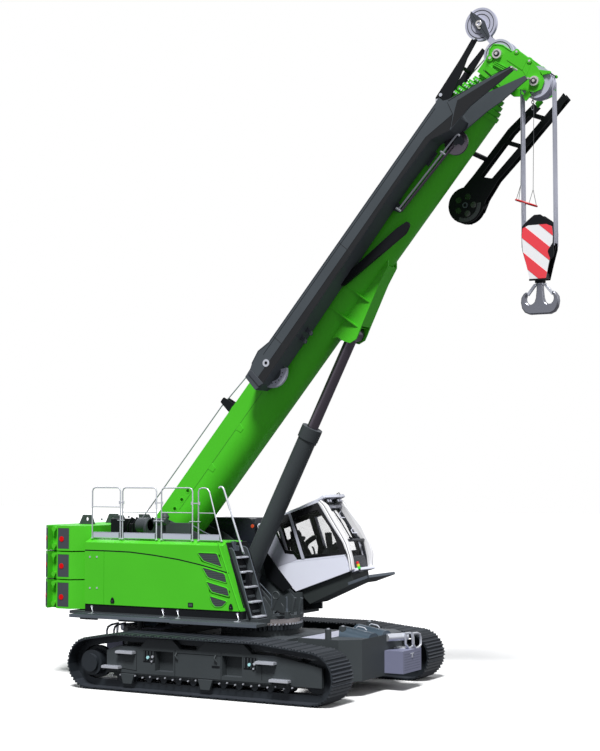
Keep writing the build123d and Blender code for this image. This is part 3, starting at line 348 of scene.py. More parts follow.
# -------- frames and mesh building
def tilted(origin: Vector, angle: float, y: float = 0.0) -> Matrix:
    """Matrix from (along, across, rise) to the row frame, for a direction raised in the XZ plane.

    Args:
        origin: Where along and rise are zero.
        angle: How far the along axis is raised from +X.
        y: Added to the origin's y.

    Returns:
        The placing matrix.
    """
    turn = Matrix.Rotation(-angle, 4, "Y")
    return Matrix.Translation(origin + Vector((0, y, 0))) @ turn


BOOM = tilted(BOOM_PIVOT, BOOM_ANGLE)
CAB = tilted(CAB_CORNER, CAB_TILT)
ROW = Matrix.Identity(4)


class Shape:
    """Collects solids into one mesh and makes it a piece that rides on a body."""

    def __init__(self, place: Matrix = ROW) -> None:
        """Start an empty mesh whose solids are given in the frame of place."""
        self.mesh = bmesh.new()
        self.place = place

    def _put(self, made: list[bmesh.types.BMVert]) -> None:
        """Move new vertices from the working frame to the row frame."""
        for vertex in made:
            vertex.co = self.place @ vertex.co

    def box(self, corners: list[Vector]) -> None:
        """Box on eight corners, ordered by its first, second and third direction.

        Args:
            corners: The corners, with the last direction changing fastest.
        """
        made = [self.mesh.verts.new(corner) for corner in corners]
        for ring in ((0, 1, 3, 2), (4, 6, 7, 5), (0, 4, 5, 1), (2, 3, 7, 6), (0, 2, 6, 4), (1, 5, 7, 3)):
            self.mesh.faces.new([made[i] for i in ring])
        self._put(made)

    def block(self, low: Point, high: Point) -> None:
        """Box along the axes between two opposite corners, given in any order."""
        self.box([Vector(corner) for corner in product(*(sorted(pair) for pair in zip(low, high)))])

    def plate(self, outline: list[Flat], y_one: float, y_two: float) -> None:
        """Flat plate.

        Args:
            outline: Corners in (x, z).
            y_one: One face.
            y_two: The other face.
        """
        y_low, y_high = sorted((y_one, y_two))
        near = [self.mesh.verts.new((x, y_low, z)) for x, z in outline]
        far = [self.mesh.verts.new((x, y_high, z)) for x, z in outline]
        self.mesh.faces.new(near)
        self.mesh.faces.new(list(reversed(far)))
        for i, corner in enumerate(near):
            after = (i + 1) % len(near)
            self.mesh.faces.new([near[after], corner, far[i], far[after]])
        self._put(near + far)

    def panel(self, outline: list[Flat], holes: list[list[Flat]], y_low: float, y_high: float) -> None:
        """Flat plate with openings.

        Args:
            outline: Corners in (x, z).
            holes: Outlines of the openings.
            y_low: The face with the lower y.
            y_high: The face with the higher y.
        """
        made, edges = [], []
        for loop in (outline, *holes):
            ring = [self.mesh.verts.new((x, y_low, z)) for x, z in loop]
            made += ring
            edges += [self.mesh.edges.new((ring[i - 1], ring[i])) for i in range(len(ring))]
        filled = bmesh.ops.triangle_fill(self.mesh, use_beauty=True, edges=edges)
        faces = [item for item in filled["geom"] if isinstance(item, bmesh.types.BMFace)]
        grown = bmesh.ops.extrude_face_region(self.mesh, geom=faces)
        moved = [item for item in grown["geom"] if isinstance(item, bmesh.types.BMVert)]
        for vertex in moved:
            vertex.co.y = y_high
        self._put(made + moved)

    def rod(self, start: Point, end: Point, radius: float, sides: int = 16) -> None:
        """Round bar between two points.

        Args:
            start: Middle of the first end.
            end: Middle of the second end.
            radius: Its radius.
            sides: Number of flats round it.
        """
        axis = Vector(end) - Vector(start)
        turn = axis.to_track_quat("Z", "Y").to_matrix().to_4x4()
        made = bmesh.ops.create_cone(self.mesh, cap_ends=True, segments=sides, radius1=radius, radius2=radius,
                                     depth=axis.length,
                                     matrix=Matrix.Translation((Vector(start) + Vector(end)) / 2) @ turn)
        self._put(made["verts"])

    def pin(self, x: float, z: float, y_one: float, y_two: float, radius: float, sides: int = 16) -> None:
        """Round bar across the frame, from y_one to y_two."""
        self.rod((x, y_one, z), (x, y_two, z), radius, sides)

    def post(self, x: float, y: float, z_one: float, z_two: float, radius: float, sides: int = 16) -> None:
        """Round bar that stands upright in the frame, from z_one to z_two."""
        self.rod((x, y, z_one), (x, y, z_two), radius, sides)

    def lathe(self, profile: list[Flat], centre: Point, axis: Point = (0, 1, 0), sides: int = 48) -> None:
        """Solid of revolution.

        Args:
            profile: Pairs of radius and place along the axis, closed back to the first pair.
            centre: Where the axis starts.
            axis: Direction of the axis.
            sides: Number of steps round it.
        """
        turn = Vector(axis).to_track_quat("Z", "Y").to_matrix()
        rings = []
        for step in range(sides):
            angle = 2 * math.pi * step / sides
            cosine, sine = math.cos(angle), math.sin(angle)
            rings.append([self.mesh.verts.new(Vector(centre) + turn @ Vector((r * cosine, r * sine, a)))
                          for r, a in profile])
        for step, ring in enumerate(rings):
            after = rings[(step + 1) % sides]
            for i in range(len(profile)):
                k = (i + 1) % len(profile)
                self.mesh.faces.new([ring[i], ring[k], after[k], after[i]])
        self._put([v for ring in rings for v in ring])

    def tube(self, path: list[Point], radius: float, sides: int = 10, closed: bool = False) -> None:
        """Round tube along a line of points, a little wider where it bends.

        Args:
            path: The points.
            radius: Radius of the tube.
            sides: Number of flats round it.
            closed: Whether it runs back to its first point.
        """
        points = [Vector(p) for p in path]
        count = len(points)
        normal = Vector((0, 0, 1)) if abs((points[1] - points[0]).normalized().z) < 0.9 else Vector((0, 1, 0))
        rings = []
        for i, point in enumerate(points):
            before = points[i - 1] if i or closed else point
            after = points[(i + 1) % count] if i + 1 < count or closed else point
            heading = (after - before).normalized()
            normal = (normal - heading * normal.dot(heading)).normalized()
            side = heading.cross(normal)
            spread = 1.0
            if before != point and after != point:
                bend = (point - before).normalized().dot((after - point).normalized())
                spread = min(1.0 / max(math.sqrt((1 + bend) / 2), 0.5), 1.6)
            rings.append([self.mesh.verts.new(point + (normal * math.cos(a) + side * math.sin(a)) * radius * spread)
                          for a in (2 * math.pi * k / sides for k in range(sides))])
        for i in range(count if closed else count - 1):
            one, two = rings[i], rings[(i + 1) % count]
            for k in range(sides):
                n = (k + 1) % sides
                self.mesh.faces.new([one[k], one[n], two[n], two[k]])
        if not closed:
            self.mesh.faces.new(list(reversed(rings[0])))
            self.mesh.faces.new(rings[-1])
        self._put([v for ring in rings for v in ring])

    def line(self, path: list[Flat], y: float, radius: float, sides: int = 10, closed: bool = False) -> None:
        """Round tube along (x, z) points at one y."""
        self.tube([(x, y, z) for x, z in path], radius, sides, closed)

    def make(self, name: str, finish: Finish | Glass, body: str, bevel: float = 0.0,
             smooth: bool = True) -> bpy.types.Object:
        """Turn the collected solids into a piece on a body.

        Args:
            name: Piece name.
            finish: Its finish.
            body: The body that it rides on.
            bevel: Width of the rounded edges, in metres, or 0.
            smooth: Whether curved faces are shaded smooth.

        Returns:
            The new object.
        """
        bmesh.ops.recalc_face_normals(self.mesh, faces=self.mesh.faces)
        data = bpy.data.meshes.new(name)
        self.mesh.to_mesh(data)
        self.mesh.free()
        piece = bpy.data.objects.new(name, data)
        bpy.context.scene.collection.objects.link(piece)
        data.materials.append(finish.material())
        if bevel:
            rounding = piece.modifiers.new("edges", "BEVEL")
            rounding.width = bevel
            rounding.segments = 2
            rounding.limit_method = "ANGLE"
            rounding.angle_limit = BEVEL_FROM
        if smooth:
            data.shade_smooth()
            data.set_sharp_from_angle(angle=SMOOTH_TO)
        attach(piece, body)
        log.info("piece %s on %s, %d faces", name, body, len(data.polygons))
        return piece


def shapes(count: int, place: Matrix = ROW) -> list[Shape]:
    """Several empty shapes whose solids are given in the frame of place."""
    return [Shape(place) for _ in range(count)]


# -------- hardware used all over the crane
def bolt_heads(points: list[Point], axis: Point, radius: float = 0.014, height: float = 0.012,
               place: Matrix = ROW) -> Shape:
    """Six-sided bolt heads standing on their points.

    Args:
        points: Where each head's foot stands.
        axis: The way the heads point.
        radius: Across the corners, halved.
        height: Height of a head.
        place: Frame that the points are given in.

    Returns:
        The shape, not made yet.
    """
    shape = Shape(place)
    for point in points:
        shape.rod(point, tuple(Vector(point) + Vector(axis) * height), radius, sides=6)
    return shape


def ring_of_points(centre: Point, radius: float, count: int, axis: str = "Y") -> list[Point]:
    """Points evenly spaced on a circle about an axis of the frame.

    Args:
        centre: Centre of the circle.
        radius: Its radius.
        count: Number of points.
        axis: "Y" or "Z".

    Returns:
        The points.
    """
    points = []
    for step in range(count):
        angle = 2 * math.pi * (step + 0.5) / count
        one, two = radius * math.cos(angle), radius * math.sin(angle)
        if axis == "Y":
            points.append((centre[0] + one, centre[1], centre[2] + two))
        else:
            points.append((centre[0] + one, centre[1] + two, centre[2]))
    return points


def span_at(outline: list[Flat], height: float) -> Flat | None:
    """Width of an outline at one height.

    Args:
        outline: Corners in (x, z).
        height: The height.

    Returns:
        Low and high x, or None outside the outline.
    """
    crossed = []
    for i, (x0, z0) in enumerate(outline):
        x1, z1 = outline[(i + 1) % len(outline)]
        if (z0 - height) * (z1 - height) < 0:
            crossed.append(x0 + (x1 - x0) * (height - z0) / (z1 - z0))
    return (min(crossed), max(crossed)) if len(crossed) > 1 else None


def shrunk(outline: list[Flat], share: float) -> list[Flat]:
    """Outline drawn in towards its middle.

    Args:
        outline: Corners in (x, z).
        share: How far each corner moves towards the middle, from 0 to 1.

    Returns:
        The smaller outline.
    """
    mid_x = sum(x for x, _ in outline) / len(outline)
    mid_z = sum(z for _, z in outline) / len(outline)
    return [(x + (mid_x - x) * share, z + (mid_z - z) * share) for x, z in outline]


def rect(x_low: float, z_low: float, x_high: float, z_high: float) -> list[Flat]:
    """Outline of an upright rectangle."""
    return [(x_low, z_low), (x_high, z_low), (x_high, z_high), (x_low, z_high)]


def arc(centre: Flat, radius: float, start: float, stop: float, steps: int) -> list[Flat]:
    """Points on an arc.

    Args:
        centre: Its centre.
        radius: Its radius.
        start: Angle of the first point, in degrees.
        stop: Angle of the last point, in degrees.
        steps: Number of steps between them.

    Returns:
        The points, one more than the steps.
    """
    angles = [math.radians(start + (stop - start) * k / steps) for k in range(steps + 1)]
    return [(centre[0] + radius * math.cos(a), centre[1] + radius * math.sin(a)) for a in angles]


def rounded(outline: list[Flat], radius: float, steps: int = 4) -> list[Flat]:
    """Outline with its corners rounded.

    Args:
        outline: Corners in (x, z).
        radius: Length taken off each side of a corner, at most.
        steps: Number of pieces that replace a corner.

    Returns:
        The outline with more corners.
    """
    points = []
    count = len(outline)
    for i, corner in enumerate(outline):
        here = Vector(corner)
        before = Vector(outline[i - 1]) - here
        after = Vector(outline[(i + 1) % count]) - here
        reach = min(radius, before.length * 0.45, after.length * 0.45)
        start, end = here + before.normalized() * reach, here + after.normalized() * reach
        for step in range(steps + 1):
            t = step / steps
            spot = start * (1 - t) ** 2 + here * 2 * t * (1 - t) + end * t ** 2
            points.append((spot.x, spot.y))
    return points


def chain(shape: Shape, start: Point, end: Point, link: float = 0.075, wire: float = 0.009) -> None:
    """Chain of oval links, each turned a quarter from the last.

    Args:
        shape: Where the links are added.
        start: First end.
        end: Last end.
        link: Length of a link.
        wire: Radius of its wire.
    """
    run = Vector(end) - Vector(start)
    count = max(int(run.length / (link * 0.72)), 1)
    heading = run.normalized()
    side = heading.cross(Vector((1, 0.3, 0))).normalized()
    for k in range(count):
        middle = Vector(start) + run * (k + 0.5) / count
        across = side if k % 2 else heading.cross(side)
        loop = []
        for step in range(8):
            angle = 2 * math.pi * step / 8
            loop.append(tuple(middle + heading * math.cos(angle) * link / 2 + across * math.sin(angle) * link * 0.3))
        shape.tube(loop, wire, sides=5, closed=True)


# -------- right-hand house
@dataclass
class House:
    """Right-hand machinery house: louvres, crease, latches, bolts and catwalk straps.

    Sizes are metres in the row frame; the wall faces -Y.
    """

    wall: float = -1.5
    slat_pitch: float = 0.034
    crease: tuple[Flat, ...] = ((-3.29, 2.641), (-2.7, 2.639), (-2.165, 2.630), (-1.6, 2.583), (-1.0, 2.513),
                                (-0.487, 2.425), (0.176, 2.281))
    front_edge: tuple[Flat, ...] = ((-0.075, 2.874), (0.16, 2.27), (0.428, 1.575))
    grilles: tuple[tuple[Flat, ...], ...] = (
        ((-0.556, 2.661), (-0.089, 2.657), (0.029, 2.387), (-0.403, 2.495)),
        ((-0.447, 2.383), (0.092, 2.268), (0.138, 2.086), (-0.302, 2.175)),
        ((-0.350, 2.106), (0.150, 1.992), (0.200, 1.826), (-0.213, 1.900)),
        ((-0.268, 1.829), (0.150, 1.736), (0.027, 1.622), (-0.129, 1.612), (-0.205, 1.679)),
    )
    latches: tuple[Flat, ...] = ((-2.587, 1.645), (0.23, 1.633))
    cover: Flat = (-0.703, 1.633)
    bolts: tuple[Flat, ...] = ((-3.163, 2.506), (-2.986, 2.511), (-3.156, 1.876), (-2.979, 1.883))
    bracket_x: tuple[float, ...] = (-3.089, -1.345, -0.988, 0.398)

    def build(self) -> None:
        """Build every fitting of the house."""
        self._louvres()
        self._crease()
        self._latches()
        self._sill_brackets()

    def _louvres(self) -> None:
        """Grey slatted panes set proud of the openings, on dark back plates that paint the shade between the slats,
        with a raised green rim.
        """
        back, slats, rim = shapes(3)
        for grille in self.grilles:
            outline = rounded(list(grille), 0.045)
            # Dark back plate: painted shade seen between the slats
            back.plate(outline, self.wall - 0.004, self.wall + 0.001)
            low, high = min(z for _, z in outline), max(z for _, z in outline)
            for row in range(int((high - low) / self.slat_pitch)):
                z = low + (row + 0.5) * self.slat_pitch
                span = span_at(shrunk(outline, 0.03), z)
                if span and span[1] - span[0] > 0.03:
                    slats.block((span[0], self.wall - 0.007, z - 0.012), (span[1], self.wall - 0.003, z + 0.012))
            rim.line(outline, self.wall - 0.002, 0.010, sides=8, closed=True)
        rim.line(self.front_edge, self.wall - 0.004, 0.012, sides=8)
        back.make("grille_gap_shade", CONSOLE, "upper")
        slats.make("grille_slats", LOUVRE, "upper")
        rim.make("grille_rims", GREEN, "upper")

    def _crease(self) -> None:
        """Black strip along the crease, painted shade in its groove, and the bolts of the rear panel."""
        seal = Shape()
        edge = [(x, z + 0.012) for x, z in self.crease] + [(x, z - 0.012) for x, z in reversed(self.crease)]
        # Painted shade: a black strip darkens the crease's groove
        seal.plate(edge, self.wall - 0.001, self.wall + 0.009)
        seal.make("crease_groove_shade", BLACK, "upper")
        bolt_heads([(x, self.wall, z) for x, z in self.bolts], (0, -1, 0), 0.022, 0.008).make(
            "panel_bolts", GALVANISED, "upper", smooth=False)

    def _latches(self) -> None:
        """Black paddle latches with their keyholes, and the square inspection cover."""
        paddles, keys = shapes(2)
        for x, z in self.latches:
            drop = rounded([(x - 0.05, z - 0.05), (x + 0.055, z - 0.05), (x + 0.035, z + 0.03), (x, z + 0.075),
                            (x - 0.035, z + 0.03)], 0.03)
            paddles.plate(drop, self.wall - 0.018, self.wall)
            keys.pin(x, z - 0.01, self.wall - 0.022, self.wall - 0.016, 0.014, 12)
        x, z = self.cover
        paddles.plate(rounded(rect(x - 0.06, z - 0.045, x + 0.06, z + 0.045), 0.012), self.wall - 0.008, self.wall)
        keys.plate(rect(x - 0.04, z - 0.027, x + 0.04, z + 0.027), self.wall - 0.011, self.wall - 0.007)
        paddles.make("latches", BLACK, "upper", bevel=0.003)
        keys.make("latch_keys", LOUVRE, "upper")

    def _sill_brackets(self) -> None:
        """Bent steel straps that hang the catwalk from the sill."""
        straps = Shape()
        for x in self.bracket_x:
            straps.tube([(x - 0.03, -1.484, 1.50), (x - 0.01, -1.50, 1.44), (x + 0.03, -1.53, 1.40),
                         (x + 0.03, -1.60, 1.365)], 0.008, sides=6)
            straps.block((x - 0.03, -1.62, 1.36), (x + 0.08, -1.54, 1.372))
            straps.pin(x - 0.03, 1.50, -1.492, -1.48, 0.026, 10)
        straps.make("catwalk_straps", GALVANISED, "upper")


@dataclass
class Catwalk:
    """Grating, edge strips and carriers of the catwalk beside the right-hand house."""

    rear: float = -3.39
    front: float = 1.03
    outer: float = -1.88
    inner: float = -1.5
    top: float = 1.36
    split: float = -0.95
    cell: float = 0.075
    carrier_x: tuple[float, ...] = (-3.15, -2.2, -0.95, 0.35)

    def build(self) -> None:
        """Build the walking surface and what stiffens it."""
        edge, cells, carriers = shapes(3)
        for low, high, drop in ((self.rear, self.split, 0.0), (self.split, self.front, 0.012)):
            z = self.top - drop
            edge.block((low, self.outer - 0.002, z - 0.05), (high, self.outer + 0.010, z + 0.012))
            edge.block((low, self.inner - 0.010, z - 0.01), (high, self.inner, z + 0.012))
            count = int((high - low) / self.cell)
            for k in range(count):
                x = low + (k + 0.5) * (high - low) / count
                cells.block((x - 0.006, self.outer + 0.01, z - 0.002), (x + 0.006, self.inner - 0.01, z + 0.014))
        for x in self.carrier_x:
            carriers.block((x, -1.84, self.top - 0.088), (x + 0.42, -1.79, self.top - 0.055))
            carriers.block((x + 0.15, -1.86, self.top - 0.088), (x + 0.21, -1.40, self.top - 0.055))
        edge.make("catwalk_edges", STEP_GREY, "upper", bevel=0.002)
        cells.make("catwalk_grating", STEP_GREY, "upper")
        carriers.make("catwalk_carriers", DARK_GREY, "upper", bevel=0.003)


@dataclass
class RoofRails:
    """Rail frames bent from thin tube, their clamps, kick plates and the ladder's own handrail."""

    y: float = -1.38
    foot: float = 2.885
    top: float = 3.923
    radius: float = 0.0135
    bend: float = 0.075
    # Each frame: rear post, front post at the top, front post at its foot, height of the mid rail
    frames: tuple[tuple[float, float, float, float], ...] = (
        (-3.200, -2.495, -2.495, 3.53), (-2.440, -1.608, -1.608, 3.43),
        (-1.487, -0.746, -0.746, 3.43), (-0.605, -0.371, -0.065, 3.43))
    upper_clamp: float = 3.62
    lower_clamp: float = 3.26
    kick_spans: tuple[Flat, ...] = ((-3.165, -2.53), (-2.405, -1.643), (-1.452, -0.781), (-0.57, -0.11))

    def build(self) -> None:
        """Build the rail frames, clamps, kick plates and the handrail over the ladder."""
        self._frames()
        clamps, kicks, rail = shapes(3)
        for (_, _, rear, _), (front, _, _, _) in zip(self.frames, self.frames[1:]):
            for x in (rear - 0.014, front + 0.014):
                clamps.post(x, self.y, self.upper_clamp - 0.03, self.upper_clamp + 0.03, 0.021, 12)
            clamps.block((rear - 0.014, self.y - 0.010, self.upper_clamp - 0.010),
                         (front + 0.014, self.y + 0.010, self.upper_clamp + 0.010))
            clamps.rod((rear - 0.06, self.y - 0.018, self.lower_clamp),
                       (front + 0.06, self.y - 0.018, self.lower_clamp), 0.007, 8)
        for low, high in self.kick_spans:
            kicks.block((low, self.y - 0.014, 2.90), (high, self.y - 0.003, 3.012))
            kicks.block((low, self.y - 0.014, 3.004), (high, self.y + 0.03, 3.014))
        rail.tube([(-0.15, -1.35, 3.925), (-0.12, -1.35, 3.945), (-0.08, -1.35, 3.947), (-0.05, -1.35, 3.925),
                   (-0.03, -1.35, 3.885), (0.408, -1.35, 2.69), (0.41, -1.32, 2.66)], 0.019, sides=12)
        clamps.make("rail_clamps", GALVANISED, "upper")
        kicks.make("kick_plates", LAVENDER, "upper", bevel=0.002)
        rail.make("ladder_handrail", GALVANISED, "upper")

    def _frames(self) -> None:
        """Rail frames: two posts, a bent top, a mid rail and flat feet."""
        tubes = Shape()
        for rear, front_top, front_foot, mid in self.frames:
            slope = Vector((front_foot - front_top, self.foot - self.top)).normalized() * self.bend
            path = [(rear, self.foot), (rear, self.top - self.bend),
                    (rear + self.bend * 0.3, self.top - self.bend * 0.3),
                    (rear + self.bend, self.top), (front_top - self.bend, self.top),
                    (front_top - self.bend * 0.3, self.top - self.bend * 0.25),
                    (front_top + slope.x, self.top + slope.y), (front_foot, self.foot)]
            tubes.line(path, self.y, self.radius, sides=12)
            share = (mid - self.foot) / (self.top - self.foot)
            mid_front = front_foot + (front_top - front_foot) * share
            tubes.rod((rear, self.y, mid), (mid_front, self.y, mid), 0.010, 10)
            for x in (rear, front_foot):
                tubes.post(x, self.y, self.foot - 0.001, self.foot + 0.012, 0.032, 12)
        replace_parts(tubes.make("rail_frames", GALVANISED, "upper"), "handrails")


@dataclass
class Ladder:
    """Open ladder in front of the right-hand house: stringers, frames, treads and hand pad."""

    near: tuple[Flat, ...] = ((-0.03, 2.74), (0.136, 2.755), (0.180, 2.715), (0.205, 2.653), (0.387, 2.096),
                              (0.60, 1.42))
    far: tuple[Flat, ...] = ((0.05, 2.78), (0.175, 2.768), (0.225, 2.735), (0.255, 2.67), (0.52, 1.903), (0.67, 1.42))
    near_y: float = -1.34
    far_y: float = -0.90
    treads: tuple[Flat, ...] = ((0.208, 2.571), (0.30, 2.288), (0.415, 2.004), (0.521, 1.719), (0.625, 1.438))

    def build(self) -> None:
        """Build the ladder, which takes the place of the plain side plates."""
        plates, edges, treads, dark = shapes(4)
        for line, y in ((self.near, self.near_y), (self.far, self.far_y)):
            back = [(x - 0.12, z - 0.08) for x, z in line]
            plates.plate(list(line) + list(reversed(back)), y, y + 0.02)
            # Painted highlight along each stringer's front edge
            edges.line(line, y + 0.01, 0.010, sides=8)
        for x, z in self.treads:
            treads.block((x - 0.09, self.near_y + 0.03, z - 0.016), (x + 0.07, self.far_y - 0.01, z + 0.012))
            for step in range(6):
                y = self.near_y + 0.07 + step * 0.062
                treads.block((x - 0.085, y, z + 0.010), (x + 0.065, y + 0.02, z + 0.019))
        self._screens(plates, edges, dark)
        treads.make("ladder_treads", GALVANISED, "upper", bevel=0.003)
        edges.make("ladder_edge_highlights_and_blocks", STEP_GREY, "upper")
        dark.make("ladder_pads", BLACK, "upper", bevel=0.01)
        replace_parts(plates.make("ladder_stringers", DARK_GREY, "upper", bevel=0.003), "side_ladder")

    def _screens(self, plates: Shape, edges: Shape, dark: Shape) -> None:
        """Bent cover behind the treads, top box, hand pad, hoses, platform and foot bracket.

        Args:
            plates, edges, dark: Take the plates, the light blocks with the painted edge highlights, and the black
                pieces.
        """
        cover = [(-0.055, 2.862), (-0.02, 2.862), (0.115, 2.50), (0.52, 1.41), (0.485, 1.41)]
        dark.plate([(x + 0.065, z) for x, z in cover], self.near_y - 0.03, self.far_y + 0.30)
        for x, z in self.treads[:-1]:
            plates.block((x - 0.02, -1.22, z - 0.20), (x + 0.06, -1.00, z - 0.16))
            plates.block((x - 0.06, -1.18, z - 0.26), (x - 0.02, -1.04, z - 0.10))
        plates.block((-0.28, -1.30, 2.70), (0.02, -0.72, 2.845))
        # Painted highlight along the top box's upper edges
        edges.tube([(-0.28, -1.30, 2.845), (0.02, -1.30, 2.845), (0.02, -0.72, 2.845)], 0.009, sides=6)
        edges.block((0.03, -1.19, 2.74), (0.10, -1.10, 2.88))
        edges.block((0.10, -1.19, 2.70), (0.17, -1.10, 2.80))
        dark.plate(rounded([(0.27, 2.29), (0.44, 2.29), (0.455, 2.12), (0.42, 1.97), (0.29, 1.97)], 0.05), -1.16, -1.07)
        dark.tube([(0.12, -1.36, 2.55), (0.22, -1.36, 2.20), (0.34, -1.37, 1.85), (0.42, -1.36, 1.60)], 0.030, sides=8)
        dark.tube([(0.06, -1.30, 2.60), (0.16, -1.30, 2.25), (0.30, -1.32, 1.75)], 0.022, sides=8)
        plates.block((0.40, -1.34, 1.30), (0.75, -0.88, 1.40))
        plates.plate([(0.52, 1.40), (0.80, 1.40), (0.74, 1.62), (0.60, 1.80), (0.56, 1.80)], -0.88, -0.86)


# -------- counterweight
@dataclass
class Counterweight:
    """Side panels, reflectors, chains and hooks of the stacked slabs."""

    slabs: tuple[tuple[float, float], ...] = ((1.425, 2.01), (2.035, 2.59), (2.615, 3.13))
    side: float = 1.5
    foot_gap: float = 0.043
    head_gap: float = 0.053
    disc_radius: float = 0.055
    corner: Flat = (-4.25, 1.5)
    disc_x: float = -3.893
    disc_z: tuple[float, ...] = (1.664, 2.301, 2.857)

    def build(self) -> None:
        """Build the panels and reflectors on both sides, and the chains in the notches."""
        panels, discs, rims, chains, hooks = shapes(5)
        for side in (-1, 1):
            for (low, high), disc_z in zip(self.slabs, self.disc_z):
                outer = side * (self.side - 0.004)
                panels.plate(rounded(rect(-3.992, low + self.foot_gap, -3.708, high - self.head_gap), 0.015),
                             outer, side * (self.side - 0.015))
                discs.pin(self.disc_x, disc_z, outer, outer + side * 0.010, self.disc_radius, 24)
                rims.pin(self.disc_x, disc_z, outer, outer + side * 0.004, 0.063, 24)
                self._corner_panel(panels, discs, side, (low, high), disc_z)
                self._chain(chains, hooks, side, low, high)
        panels.make("slab_panels", PANEL_GREY, "upper", bevel=0.002)
        discs.make("slab_reflectors", REFLECTOR, "upper")
        rims.make("reflector_rims", PANEL_GREY, "upper")
        chains.make("slab_chains", CHAIN, "upper")
        hooks.make("slab_hooks", RED, "upper")

    def _corner_panel(self, panels: Shape, discs: Shape, side: int, slab: Flat, disc_z: float) -> None:
        """Panel and reflector on a slab's oblique rear corner.

        Args:
            panels, discs: Take the panel and the reflector.
            side: -1 on the right, 1 on the left.
            slab: Lower and upper face of the slab.
            disc_z: Height of the reflector.
        """
        out = Vector((-1, side, 0)).normalized()
        along = Vector((-1, -side, 0)).normalized()
        start = Vector((self.corner[0], side * self.corner[1], 0)) + along * 0.03
        panels.box([spot + out * lift + Vector((0, 0, z)) for spot in (start, start + along * 0.27)
                    for lift in (0.001, 0.006) for z in (slab[0] + self.foot_gap, slab[1] - self.head_gap)])
        middle = start + along * 0.17 + Vector((0, 0, disc_z))
        discs.rod(tuple(middle + out * 0.005), tuple(middle + out * 0.014), self.disc_radius, 24)

    @staticmethod
    def _chain(chains: Shape, hooks: Shape, side: int, low: float, high: float) -> None:
        """Short chain between the two bosses of a slab, with a red hook.

        Args:
            chains, hooks: Take the chain and the hook.
            side: -1 on the right, 1 on the left.
            low: Lower face of the slab.
            high: Upper face of the slab.
        """
        y = side * 1.385
        chain(chains, (-4.075, y, low + 0.10), (-4.07, y, high - 0.06))
        hooks.line([(-4.075, low + 0.20), (-4.045, low + 0.17), (-4.04, low + 0.12), (-4.075, low + 0.09),
                    (-4.10, low + 0.12)], y, 0.014, sides=8)


